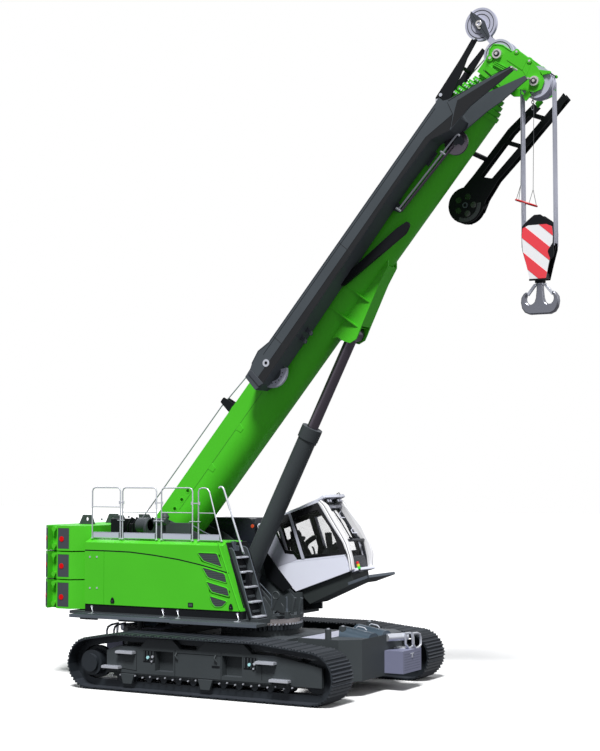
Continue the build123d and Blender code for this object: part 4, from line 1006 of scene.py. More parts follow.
# -------- cab
@dataclass
class Cab:
    """Glazing, pillars, liners and fittings of the tilting cab, given in its own frame.

    Points are (fore, up) in metres from the cab's lower rear corner.
    """

    right: float = 0.53
    left: float = 1.45
    lamp_stack: Flat = (1.452, 0.70)
    front_pane: tuple[Flat, ...] = ((0.405, 0.562), (1.369, 0.345), (1.355, 0.559), (1.294, 0.792), (1.195, 1.123),
                                    (1.11, 1.462), (1.086, 1.534), (0.405, 1.540))
    rear_pane: tuple[Flat, ...] = ((0.248, 0.597), (0.365, 0.567), (0.365, 1.546), (-0.40, 1.546), (-0.40, 1.36),
                                   (-0.052, 1.255), (0.015, 0.803), (0.201, 0.722))
    front_hole: tuple[Flat, ...] = ((0.45, 0.605), (1.225, 0.425), (1.228, 0.65), (1.18, 0.98), (1.035, 1.40),
                                    (0.45, 1.41))
    rear_hole: tuple[Flat, ...] = ((0.055, 0.864), (0.225, 0.78), (0.31, 0.66), (0.32, 1.41), (-0.02, 1.41))
    curve_inner: tuple[Flat, ...] = ((1.086, 1.534), (1.11, 1.462), (1.195, 1.123), (1.294, 0.792), (1.355, 0.559),
                                     (1.369, 0.333), (1.311, 0.006))
    curve_outer: tuple[Flat, ...] = ((1.155, 1.573), (1.250, 1.415), (1.325, 1.108), (1.415, 0.733), (1.445, 0.547),
                                     (1.430, 0.237), (1.385, 0.006))

    def build(self) -> None:
        """Build the cab's fittings."""
        self._glazing()
        self._liners()
        self._pillars()
        self._roof()
        self._seat()
        self._front()
        self._door()

    def _glazing(self) -> None:
        """Black surrounds with their panes, the lavender pillar strip and the rear quarter."""
        frame_plate, panes, strips = shapes(3, CAB)
        y = self.right
        frame_plate.panel(list(self.front_pane), [rounded(list(self.front_hole), 0.04)], y - 0.005, y)
        frame_plate.panel(list(self.rear_pane), [rounded(list(self.rear_hole), 0.03)], y - 0.005, y)
        for hole in (self.front_hole, self.rear_hole):
            panes.plate(shrunk(list(hole), -0.02), y + 0.004, y + 0.009)
        strips.plate([(0.362, 1.546), (0.420, 1.541), (0.420, 0.558), (0.352, 0.569)], y - 0.010, y)
        quarter = [(-0.418, 0.60), (0.30, 0.59), (0.248, 0.60), (0.201, 0.722), (0.015, 0.803), (-0.052, 1.255),
                   (-0.415, 1.36)]
        strips.plate(quarter, y - 0.003, y + 0.02)
        strips.plate([(-0.20, 0.652), (1.30, 0.325), (1.30, 0.320), (-0.20, 0.647)], y - 0.0015, y)
        for y_edge in (y + 0.10, self.left - 0.10):
            frame_plate.block((-0.424, y_edge - 0.03, 0.72), (-0.418, y_edge + 0.03, 1.43))
        panes.block((-0.400, y + 0.12, 0.75), (-0.394, self.left - 0.12, 1.40))
        panes.plate([(-0.33, 0.64), (0.34, 0.64), (0.38, 1.45), (-0.33, 1.45)], self.left - 0.030, self.left - 0.025)
        frame_plate.make("cab_glass_frames", GLOSS_BLACK, "cab")
        panes.make("cab_side_glass", GLASS, "cab")
        strips.make("cab_pillar_strip", PILLAR, "cab")

    def _liners(self) -> None:
        """Black inner skins of the cab, painted shade, so that its inside looks dark through the panes."""
        liner = Shape(CAB)
        skin = [(0.05, 0.05), (1.26, 0.05), (1.272, 0.65), (1.205, 1.115), (1.055, 1.51), (-0.37, 1.51), (-0.37, 0.67),
                (-0.32, 0.60)]
        front = [(0.43, 0.575), (1.235, 0.40), (1.248, 0.65), (1.20, 1.0), (1.05, 1.44), (0.43, 1.45)]
        rear = [(-0.33, 0.64), (0.31, 0.635), (0.31, 1.445), (-0.33, 1.445)]
        door_hole = [(0.46, 0.62), (1.16, 0.46), (1.17, 0.65), (1.11, 1.06), (0.99, 1.40), (0.46, 1.41)]
        far_rear = [(-0.32, 0.70), (0.26, 0.66), (0.33, 0.80), (0.36, 1.42), (-0.32, 1.42)]
        # Painted shade: black skins inside the cab darken what is seen through the panes
        liner.panel(skin, [front, rear], self.right + 0.047, self.right + 0.052)
        liner.panel(skin, [door_hole, far_rear], self.left - 0.052, self.left - 0.047)
        liner.block((-0.37, self.right + 0.05, 1.490), (1.05, self.left - 0.05, 1.513))
        liner.block((0.03, self.right + 0.05, 0.047), (1.25, self.left - 0.05, 0.060))
        liner.block((-0.372, self.right + 0.05, 0.66), (-0.366, self.left - 0.05, 0.74))
        liner.make("cab_shade_skins", SHADE_LINER, "cab")

    def _pillars(self) -> None:
        """Curved white front pillars on both sides and the dark seal inside the far one."""
        white, seal = shapes(2, CAB)
        inner, outer = list(self.curve_inner), list(self.curve_outer)
        middle = [(x0 * 0.45 + x1 * 0.55, z0 * 0.45 + z1 * 0.55) for (x0, z0), (x1, z1) in zip(inner, outer)]
        white.plate(inner + list(reversed(middle)), self.right - 0.004, self.right + 0.05)
        white.plate(middle + list(reversed(outer)), self.right + 0.010, self.right + 0.115)
        far_outer = [(1.13, 1.585), (1.211, 1.507), (1.325, 1.20), (1.453, 0.877), (1.508, 0.49), (1.503, 0.276),
                     (1.388, -0.009)]
        far_inner = [(1.03, 1.50), (1.076, 1.444), (1.16, 1.15), (1.242, 0.84), (1.384, 0.554), (1.35, 0.25),
                     (1.297, 0.043)]
        white.plate(far_outer + list(reversed(far_inner)), self.left - 0.075, self.left)
        inset = [(x - 0.045, z) for x, z in far_inner]
        seal.plate(far_inner + list(reversed(inset)), self.left - 0.10, self.left - 0.06)
        seam = [(x + 0.006, z) for x, z in middle]
        seal.plate(middle + list(reversed(seam)), self.right + 0.006, self.right + 0.03)
        # Both pillars take the brighter stripe white, not the cab's own white: painted light that keeps the far pillar
        # white in the shade it lies in
        white.make("cab_front_pillars", STRIPE_WHITE, "cab", bevel=0.014)
        seal.make("cab_front_seals", HOOD, "cab", bevel=0.003)

    def _roof(self) -> None:
        """White roof skin with its spoiler, work lights and camera."""
        roof, lamps, lenses = shapes(3, CAB)
        roof.plate([(-0.42, 1.555), (-0.40, 1.585), (0.30, 1.592), (0.62, 1.592), (1.12, 1.612), (1.262, 1.645),
                    (1.275, 1.575), (1.085, 1.556)], self.right + 0.005, self.left - 0.005)
        for y in (0.66, 1.10):
            lamps.block((1.15, y, 1.475), (1.235, y + 0.21, 1.558))
            lamps.block((1.12, y + 0.07, 1.54), (1.18, y + 0.14, 1.575))
            for k in range(2):
                centre = (1.235, y + 0.055 + k * 0.10, 1.516)
                lenses.rod(centre, (1.243, centre[1], 1.516), 0.032, 16)
        lamps.block((1.10, self.right + 0.12, 1.46), (1.15, self.left - 0.10, 1.50))
        roof.make("cab_roof_skin", WHITE, "cab", bevel=0.012)
        lamps.line([(1.20, 1.60), (1.22, 1.665), (1.27, 1.67), (1.285, 1.63)], 1.22, 0.009, sides=8)
        lamps.make("cab_work_lights", CONSOLE, "cab", bevel=0.006)
        lenses.make("cab_work_lenses", PILLAR, "cab")

    def _seat(self) -> None:
        """Headrest, bolsters, armrests, joysticks, console and monitor."""
        fabric, grey = shapes(2, CAB)
        fabric.plate(rounded([(0.05, 1.07), (0.20, 1.05), (0.225, 1.13), (0.19, 1.245), (0.08, 1.25)], 0.05),
                     0.87, 1.09)
        bolster = rounded([(0.06, 0.42), (0.30, 0.42), (0.26, 0.70), (0.17, 1.04), (0.05, 1.05)], 0.06)
        for y in (0.78, 1.12):
            fabric.plate(bolster, y, y + 0.06)
        for y in (0.70, 1.20):
            grey.plate(rounded([(0.10, 0.74), (0.20, 0.90), (0.44, 0.955), (0.46, 1.01), (0.40, 1.045), (0.18, 0.99),
                                (0.05, 0.80)], 0.04), y, y + 0.075)
            grey.plate(rounded([(0.38, 0.36), (0.62, 0.36), (0.62, 0.60), (0.40, 0.62)], 0.05), y - 0.02, y + 0.10)
            grey.line([(0.56, 0.60), (0.57, 0.72), (0.555, 0.76)], y + 0.04, 0.020, sides=10)
        grey.plate(rounded([(0.745, 0.66), (0.865, 0.62), (0.945, 0.93), (0.80, 0.975)], 0.03), 0.97, 1.01)
        grey.plate([(0.58, 0.40), (0.66, 0.60), (0.80, 0.66), (0.90, 0.66), (1.02, 0.70), (1.03, 0.60), (1.10, 0.30),
                    (1.10, 0.10), (0.90, 0.06)], 0.90, 1.06)
        grey.plate(rounded([(1.02, 0.10), (1.22, 0.10), (1.20, 0.48), (1.06, 0.52)], 0.03), 0.72, 0.90)
        grey.rod((0.84, 0.99, 0.64), (0.80, 0.99, 0.50), 0.03, 12)
        fabric.make("cab_seat_pads", SEAT, "cab", bevel=0.012)
        grey.make("cab_consoles", CONSOLE, "cab", bevel=0.006)

    def _front(self) -> None:
        """Windscreen and what stands before it: bars, lamp stack, grab loops and step rim."""
        screen, bars, loops, rim = shapes(4, CAB)
        self._windscreen(screen, bars)
        self._grab_loops(loops)
        self._lamp_stack(bars)
        self._step_rim(rim)
        screen.make("windscreen", CLEAR, "cab")
        bars.make("cab_front_bars", HOOD, "cab")
        loops.make("cab_front_white", WHITE, "cab", bevel=0.004)
        rim.make("cab_step_rim", STEP_GREY, "cab", bevel=0.003)

    def _windscreen(self, screen: Shape, bars: Shape) -> None:
        """Curved pane with its cross bar, wiper and lower box.

        Args:
            screen, bars: Take the pane and the bars.
        """
        line = [(1.13, 1.55), (1.20, 1.42), (1.30, 1.10), (1.395, 0.733), (1.425, 0.547), (1.41, 0.237), (1.36, 0.02)]
        back = [(x - 0.006, z) for x, z in line]
        screen.plate(line + list(reversed(back)), self.right + 0.11, self.left - 0.07)
        bars.tube([(1.40, self.right + 0.12, 0.615), (1.405, self.left - 0.08, 0.60)], 0.030, sides=10)
        bars.tube([(1.26, 0.75, 1.309), (1.36, 0.76, 0.98), (1.437, 0.77, 0.65)], 0.013, sides=8)
        bars.tube([(1.30, 0.73, 1.20), (1.345, 0.78, 1.05)], 0.008, sides=6)
        bars.rod((1.437, 0.74, 0.66), (1.437, 0.82, 0.64), 0.022, 10)
        bars.block((1.27, self.right + 0.16, 0.0), (1.34, self.left - 0.12, 0.30))

    def _grab_loops(self, loops: Shape) -> None:
        """White sill under the windscreen and the grab loops on the far pillar.

        Args:
            loops: Takes both.
        """
        loops.plate(rounded([(1.30, -0.03), (1.44, -0.03), (1.43, 0.03), (1.31, 0.035)], 0.015),
                    self.right + 0.10, self.left - 0.02)
        highest = 1.318
        for top, low in ((highest, 1.161), (0.90, 0.775)):
            lean = (highest - top) * 0.36
            loops.tube([(1.115 + lean, 1.36, top), (1.075 + lean, 1.33, top - 0.03), (1.085 + lean, 1.33, low + 0.03),
                        (1.165 + lean, 1.36, low)], 0.011, sides=8)

    def _lamp_stack(self, bars: Shape) -> None:
        """Three signal lamps on a short post.

        Args:
            bars: Takes the post and its bracket.
        """
        x, y = self.lamp_stack
        for z, finish, name in ((0.123, RED, "red"), (0.071, YELLOW, "yellow"), (0.019, SIGNAL_GREEN, "green")):
            lamp = Shape(CAB)
            lamp.post(x, y, z - 0.026, z + 0.026, 0.030)
            lamp.make("signal_lamp_" + name, finish, "cab", bevel=0.006)
        bars.post(x, y, -0.06, -0.006, 0.022, 12)
        bars.block((1.34, 0.62, -0.07), (1.47, 0.80, -0.05))

    def _step_rim(self, rim: Shape) -> None:
        """Light rim and slats of the step before the cab.

        Args:
            rim: Takes both.
        """
        low, high = -0.262, -0.205
        for y in (0.46, 1.64):
            rim.block((1.24, y - 0.02, low), (1.725, y, high))
        rim.block((1.70, 0.44, low), (1.728, 1.64, high))
        for k in range(14):
            y = 0.52 + k * 0.08
            rim.block((1.25, y, -0.232), (1.71, y + 0.012, -0.215))

    def _door(self) -> None:
        """Glass, seal and handle of the sliding door on the left."""
        pane, handle = shapes(2, CAB)
        pane.plate([(0.47, 0.62), (1.18, 0.46), (1.19, 0.65), (1.13, 1.07), (1.01, 1.40), (0.47, 1.40)],
                   self.left + 0.022, self.left + 0.028)
        handle.plate(rounded([(0.44, 0.45), (0.62, 0.42), (0.62, 0.36), (0.44, 0.39)], 0.02),
                     self.left + 0.046, self.left + 0.062)
        for z in (0.09, 1.44):
            handle.block((0.30, self.left + 0.010, z), (1.10, self.left + 0.030, z + 0.02))
        pane.make("cab_door_glass", GLASS, "cab_door")
        handle.make("cab_door_handle", BLACK, "cab_door", bevel=0.003)


# -------- roof machinery, tank hood and deck
@dataclass
class Deck:
    """Machinery between the roof rails, hood and lamp of the left tank, and fittings of the main plates."""

    plate_y: float = -0.49

    def build(self) -> None:
        """Build what stands on the deck."""
        dark, grey, bright, hood = shapes(4)
        self._machinery(dark, grey, bright)
        hood.plate(rounded([(-1.665, 2.78), (-1.665, 3.285), (-0.60, 3.285), (-0.495, 3.17), (-0.495, 2.78)], 0.09),
                   0.594, 0.60)
        hood.plate(rect(-1.50, 3.13, -0.95, 3.17), 0.588, 0.596)
        lamp, cap = shapes(2)
        lamp.pin(-0.545, 3.115, 0.585, 0.60, 0.040, 20)
        cap.lathe([(0.0, 0.0), (0.045, 0.0), (0.05, 0.03), (0.03, 0.09), (0.0, 0.10)], (-1.15, 0.56, 2.80),
                  (0, 0, 1), 20)
        cap.block((-1.165, 0.55, 2.72), (-1.135, 0.57, 2.80))
        self._front_plates(dark, grey, bright)
        dark.make("deck_machinery", BLACK, "upper", bevel=0.008)
        grey.make("deck_fittings", DARK_GREY, "upper", bevel=0.006)
        # Light pins, bar and post, with painted highlights along the main plates' edges
        bright.make("deck_pins_and_edge_highlights", STEP_GREY, "upper")
        hood.make("tank_hood_front", HOOD, "upper", bevel=0.004)
        lamp.make("tank_lamp", ORANGE, "upper", bevel=0.004)
        cap.make("filler_cap", YELLOW, "upper")

    def _machinery(self, dark: Shape, grey: Shape, bright: Shape) -> None:
        """Winch motor, hoses and brackets that show between the rails.

        Args:
            dark, grey, bright: Take the black pieces, the grey pieces, and the light pins with a painted edge
                highlight.
        """
        dark.block((-3.05, -0.95, 2.86), (-2.72, -0.55, 3.27))
        dark.block((-2.62, -0.90, 2.86), (-2.32, -0.60, 3.18))
        grey.lathe([(0.0, 0.0), (0.13, 0.0), (0.15, 0.03), (0.15, 0.26), (0.12, 0.30), (0.0, 0.30)],
                   (-2.30, -1.02, 3.16), (1, 0, 0), 28)
        grey.lathe([(0.0, 0.0), (0.20, 0.0), (0.20, 0.06), (0.0, 0.06)], (-2.06, -1.00, 3.10), (1, 0, 0), 28)
        grey.rod((-1.92, -0.98, 3.22), (-1.62, -0.98, 3.24), 0.075, 20)
        for k in range(5):
            x = -2.62 + k * 0.13
            dark.tube([(x, -0.90, 2.92), (x + 0.03, -1.00, 3.14), (x + 0.12, -0.98, 3.30), (x + 0.24, -0.86, 3.20)],
                      0.019, 8)
        grey.block((-1.90, -0.62, 2.90), (-1.30, -0.55, 3.20))
        for x, z in ((-3.62, 3.24), (-3.30, 3.20), (-2.92, 3.30)):
            bright.pin(x, z, -0.50, -0.485, 0.022, 12)
        # Painted highlight along the sloping edge of the main plate
        bright.line([(-1.42, 3.20), (-1.05, 3.02), (-0.72, 2.90)], self.plate_y - 0.006, 0.012, sides=8)
        grey.lathe([(0.0, 0.0), (0.07, 0.0), (0.09, 0.05), (0.05, 0.12), (0.0, 0.14)], (-1.93, -0.60, 3.27),
                   (0, 0, 1), 20)

    def _front_plates(self, dark: Shape, grey: Shape, bright: Shape) -> None:
        """Painted edge highlight, ring, ribs and clips on the main plates ahead of the ladder, and the cab's hinge
        posts.

        Args:
            dark, grey, bright: Take the black pieces, the grey pieces, and the painted edge highlight with the light
                bar and its post.
        """
        y = self.plate_y
        # Painted highlight along the slanted edge of the main plate
        bright.line([(0.20, 2.10), (0.524, 1.815), (0.556, 1.775), (0.556, 1.55)], y - 0.004, 0.009, sides=8)
        grey.tube(ring_of_points((0.650, y - 0.006, 1.80), 0.075, 14), 0.018, sides=8, closed=True)
        grey.plate([(0.555, 1.52), (0.60, 1.52), (0.68, 1.72), (0.66, 1.76), (0.62, 1.74)], y - 0.020, y)
        grey.plate([(0.74, 1.42), (0.86, 1.42), (0.84, 1.60), (0.78, 1.66)], y - 0.030, y)
        dark.tube([(0.66, y - 0.05, 1.46), (0.74, y - 0.10, 1.50), (0.84, y - 0.09, 1.46), (0.96, y - 0.05, 1.47)],
                  0.020, 8)
        bright.line([(0.90, 1.77), (0.925, 1.785), (0.935, 1.75), (0.935, 1.56)], y - 0.06, 0.011, sides=8)
        bright.post(0.935, y - 0.06, 1.50, 1.56, 0.026, 12)
        grey.block((0.90, y - 0.10, 1.36), (0.98, y + 0.02, 1.50))
        for x in (1.02, 1.17):
            grey.line([(x, 1.45), (x + 0.02, 1.62), (x + 0.07, 1.78)], -0.50, 0.036, sides=10)
        dark.plate([(-0.25, 2.62), (-0.10, 2.62), (0.16, 2.30), (0.52, 1.90), (0.30, 1.80), (-0.10, 2.10)],
                   0.395, 0.410)
        bolt_heads([(0.64 + 0.11 * k, y - 0.001, 1.455) for k in range(4)], (0, -1, 0), 0.016, 0.014).make(
            "deck_bolts", GALVANISED, "upper", smooth=False)


# -------- boom, head and luff cylinder
@dataclass
class Boom:
    """Seams, collars, rope and head fittings of the telescopic boom, given in the boom's frame."""

    half: float = 0.430
    step: float = 0.037
    base_top: float = 0.187
    base_end: float = 10.9
    collar_pitch: float = 0.105
    rope_radius: float = 0.013
    head_y: float = -0.330
    lower_axle: Flat = (11.885, -1.027)
    upper_axle: Flat = (11.885, -0.074)
    nose_axle: Flat = (12.141, 0.735)

    def build(self) -> None:
        """Build the boom's fittings."""
        self._seams()
        self._collars()
        self._rope()
        self._head()
        self._nose()

    def _seams(self) -> None:
        """Weld seams where side walls meet the belly, and rings round the side bores."""
        seams, rings = shapes(2, BOOM)
        for side in (-1, 1):
            seams.plate(rect(0.75, -0.166, 10.80, -0.174), side * (self.half - 0.002), side * (self.half + 0.002))
            for along, rise in ((0.683, -0.074), (0.937, -0.087), (1.174, -0.081)):
                rings.lathe([(0.040, -0.002), (0.056, -0.002), (0.056, 0.004), (0.040, 0.004)],
                            (along, side * self.half, rise), (0, side, 0), 24)
        for along in (1.926, 2.964, 3.924, 4.986):
            rings.plate([(along - 0.09, -0.170), (along + 0.07, -0.170), (along + 0.04, -0.30), (along - 0.06, -0.30)],
                        -0.436, -0.424)
        seams.make("boom_seams", SEAM_GREEN, "boom")
        rings.make("boom_rings", GREEN, "boom", bevel=0.002)

    def _collars(self) -> None:
        """Guide pads, cap bolts and stop blocks on each section's end collar."""
        for n in range(5):
            body = "boom" if n == 0 else f"section_{n}"
            half, top = self.half - self.step * n + 0.022, self.base_top - self.step * n + 0.022
            end = self.base_end + self.collar_pitch * n
            middle = end - 0.042
            pads = Shape(BOOM)
            for side, word in ((-1, "right"), (1, "left")):
                bolts = []
                for rise in (top - 0.09, top - 0.24):
                    pads.plate(rounded(rect(end - 0.075, rise - 0.04, end - 0.01, rise + 0.04), 0.012),
                               side * half, side * (half + 0.020))
                    bolts += [(middle, side * (half + 0.020), rise + dz) for dz in (-0.022, 0.022)]
                bolts += [(middle, side * half, rise) for rise in (top - 0.16, top - 0.33)]
                self._bolts(bolts, (0, side, 0), f"collar_bolts_{n}_{word}", body)
            bolts = []
            for y in (-half + 0.07, -half + 0.21, half - 0.21, half - 0.07):
                pads.block((end - 0.078, y - 0.035, top), (end - 0.006, y + 0.035, top + 0.030))
                bolts.append((middle, y, top + 0.030))
            self._bolts(bolts, (0, 0, 1), f"collar_bolts_{n}_top", body)
            pads.make(f"collar_pads_{n}", GREEN, body, bevel=0.004)

    @staticmethod
    def _bolts(points: list[Point], axis: Point, name: str, body: str) -> None:
        """Bright cap bolts on a collar."""
        bolt_heads(points, axis, 0.017, 0.014, BOOM).make(name, GALVANISED, body, smooth=False)

    def _rope(self) -> None:
        """Hoist rope from the winch over the guide and along the boom to the head."""
        rope, guide, run = shapes(3, BOOM)
        rope.line([(-0.50, 0.645), (2.96, 0.618), (3.02, 0.60), (5.0, 0.42), (10.6, 0.33)], 0.0, self.rope_radius, 8)
        for y in (-0.098, 0.082):
            guide.plate(rounded([(2.90, 0.20), (3.16, 0.20), (3.08, 0.655), (2.95, 0.655)], 0.03), y, y + 0.016)
        guide.pin(2.99, 0.578, -0.09, 0.09, 0.030, 20)
        run.line([(10.55, 0.331), (11.3, 0.30), (11.83, 0.225)], 0.0, self.rope_radius, 8)
        rope.make("hoist_rope_base", ROPE, "boom")
        guide.make("rope_guide", BLACK, "boom", bevel=0.003)
        run.make("hoist_rope_head", ROPE, "section_5")

    def _head(self) -> None:
        """Raised plates, bosses, hub nuts, ribs and rope guard of the boom head."""
        plates, nuts, pins, lines = shapes(4, BOOM)
        for side in (-1, 1):
            self._head_side(plates, pins, side)
            for along, rise in (self.lower_axle, self.upper_axle):
                nuts.lathe([(0.0, 0.0), (0.060, 0.0), (0.060, 0.050), (0.045, 0.064), (0.0, 0.064)],
                           (along, side * 0.345, rise), (0, side, 0), 28)
                pins.lathe([(0.050, 0.0), (0.100, 0.0), (0.092, 0.055), (0.050, 0.055)], (along, side * 0.332, rise),
                           (0, side, 0), 28)
                pins.pin(along, rise, side * 0.40, side * 0.412, 0.030, 12)
            lines.line([(11.50, -0.02), (11.45, -0.50)], -side * self.head_y, 0.006, sides=6)
        plates.plate([(12.04, -1.06), (12.10, -0.96), (12.19, -1.14), (12.165, -1.185)], self.head_y, -0.305)
        plates.pin(12.169, -1.16, -0.345, -0.30, 0.030)
        plates.pin(12.169, -1.16, 0.02, 0.06, 0.030)
        lines.pin(12.169, -1.16, -0.31, 0.04, 0.011, 10)
        for y, rise in ((-0.93, -0.765), (-0.49, -0.96)):
            pins.tube([(11.865, y - 0.03, rise), (11.865, y + 0.10, rise - 0.005), (11.875, y + 0.14, rise - 0.05)],
                      0.020, 10)
        plates.make("head_plates", GREEN, "section_5", bevel=0.003)
        nuts.make("head_hubs", CONSOLE, "section_5", bevel=0.004)
        pins.make("head_pins", MACHINED, "section_5")
        lines.make("head_lines", BLACK, "section_5")

    def _head_side(self, plates: Shape, pins: Shape, side: int) -> None:
        """Plates, ribs and small bosses on one cheek of the boom head.

        Args:
            plates, pins: Take the green pieces and the bright pin ends.
            side: -1 on the right, 1 on the left.
        """
        skin = -side * self.head_y
        for outline, height in (
            ([(11.896, -0.297), (12.075, -0.297), (12.160, -0.350), (12.158, -0.650), (12.125, -0.646),
              (11.912, -0.692)], 0.009),
            ([(12.055, -0.773), (12.140, -0.700), (12.150, -0.660), (12.125, -0.646), (11.912, -0.692),
              (11.865, -0.824)], 0.005),
            ([(11.66, -0.13), (11.75, -0.13), (11.79, -0.39), (11.70, -0.41)], 0.030),
            ([(11.52, -0.05), (11.64, -0.05), (11.62, -0.30), (11.50, -0.30)], 0.022)):
            plates.plate(rounded(outline, 0.015), skin, skin + side * height)
        for k in range(3):
            along = 11.675 + k * 0.034
            plates.plate([(along, -0.14), (along + 0.016, -0.14), (along + 0.05, -0.39), (along + 0.034, -0.39)],
                         skin + side * 0.03, skin + side * 0.042)
        for along, rise, radius in ((12.128, -0.377, 0.052), (12.13, -0.70, 0.052), (11.746, 0.005, 0.068)):
            plates.pin(along, rise, skin, skin + side * 0.022, radius, 24)
            pins.pin(along, rise, skin + side * 0.020, skin + side * 0.030, radius * 0.42, 12)
        rim = [(11.800, 0.080), (11.850, 0.108), (11.926, 0.118), (11.985, 0.110), (12.040, 0.020), (12.072, -0.060),
               (12.078, -0.280)]
        plates.line(rim, skin, 0.013, sides=8)

    def _nose(self) -> None:
        """Dark diamond cheek, hub and keeper of the nose sheave, and dark rings on all sheaves, painted shade of their
        grooves.
        """
        cheek, hub, grooves = shapes(3, BOOM)
        outline = [(12.225, 1.040), (12.236, 0.951), (12.232, 0.680), (12.066, 0.407), (11.990, 0.400),
                   (12.015, 0.674), (12.150, 1.010)]
        for near, far in ((-0.088, -0.076), (0.076, 0.088)):
            cheek.plate(rounded(outline, 0.02), near, far)
        cheek.tube([(12.225, -0.088, 1.040), (12.120, -0.092, 0.70), (12.03, -0.090, 0.404)], 0.006, sides=6)
        hub.lathe([(0.030, 0.0), (0.062, 0.0), (0.062, 0.030), (0.030, 0.030)], (12.128, -0.092, 0.742), (0, -1, 0), 28)
        hub.block((12.055, -0.104, 0.655), (12.085, -0.090, 0.735))
        hub.block((12.040, -0.104, 0.680), (12.060, -0.090, 0.700))
        for side in (-1, 1):
            for (along, rise), radius, faces in ((self.nose_axle, 0.320, (-0.043, 0.043)),
                                                 (self.upper_axle, 0.300, (-0.284, 0.044))):
                face = faces[side > 0]
                # Dark rings: painted shade where the sheave's grooves are
                for ring in (0.86, 0.62):
                    grooves.lathe([(radius * ring - 0.012, -0.001), (radius * ring, -0.001), (radius * ring, 0.004),
                                   (radius * ring - 0.012, 0.004)], (along, face, rise), (0, side, 0), 48)
        cheek.make("nose_cheeks", PANEL_GREY, "section_5", bevel=0.003)
        hub.make("nose_hub", MACHINED, "section_5", bevel=0.003)
        grooves.make("sheave_groove_shade", CONSOLE, "section_5")


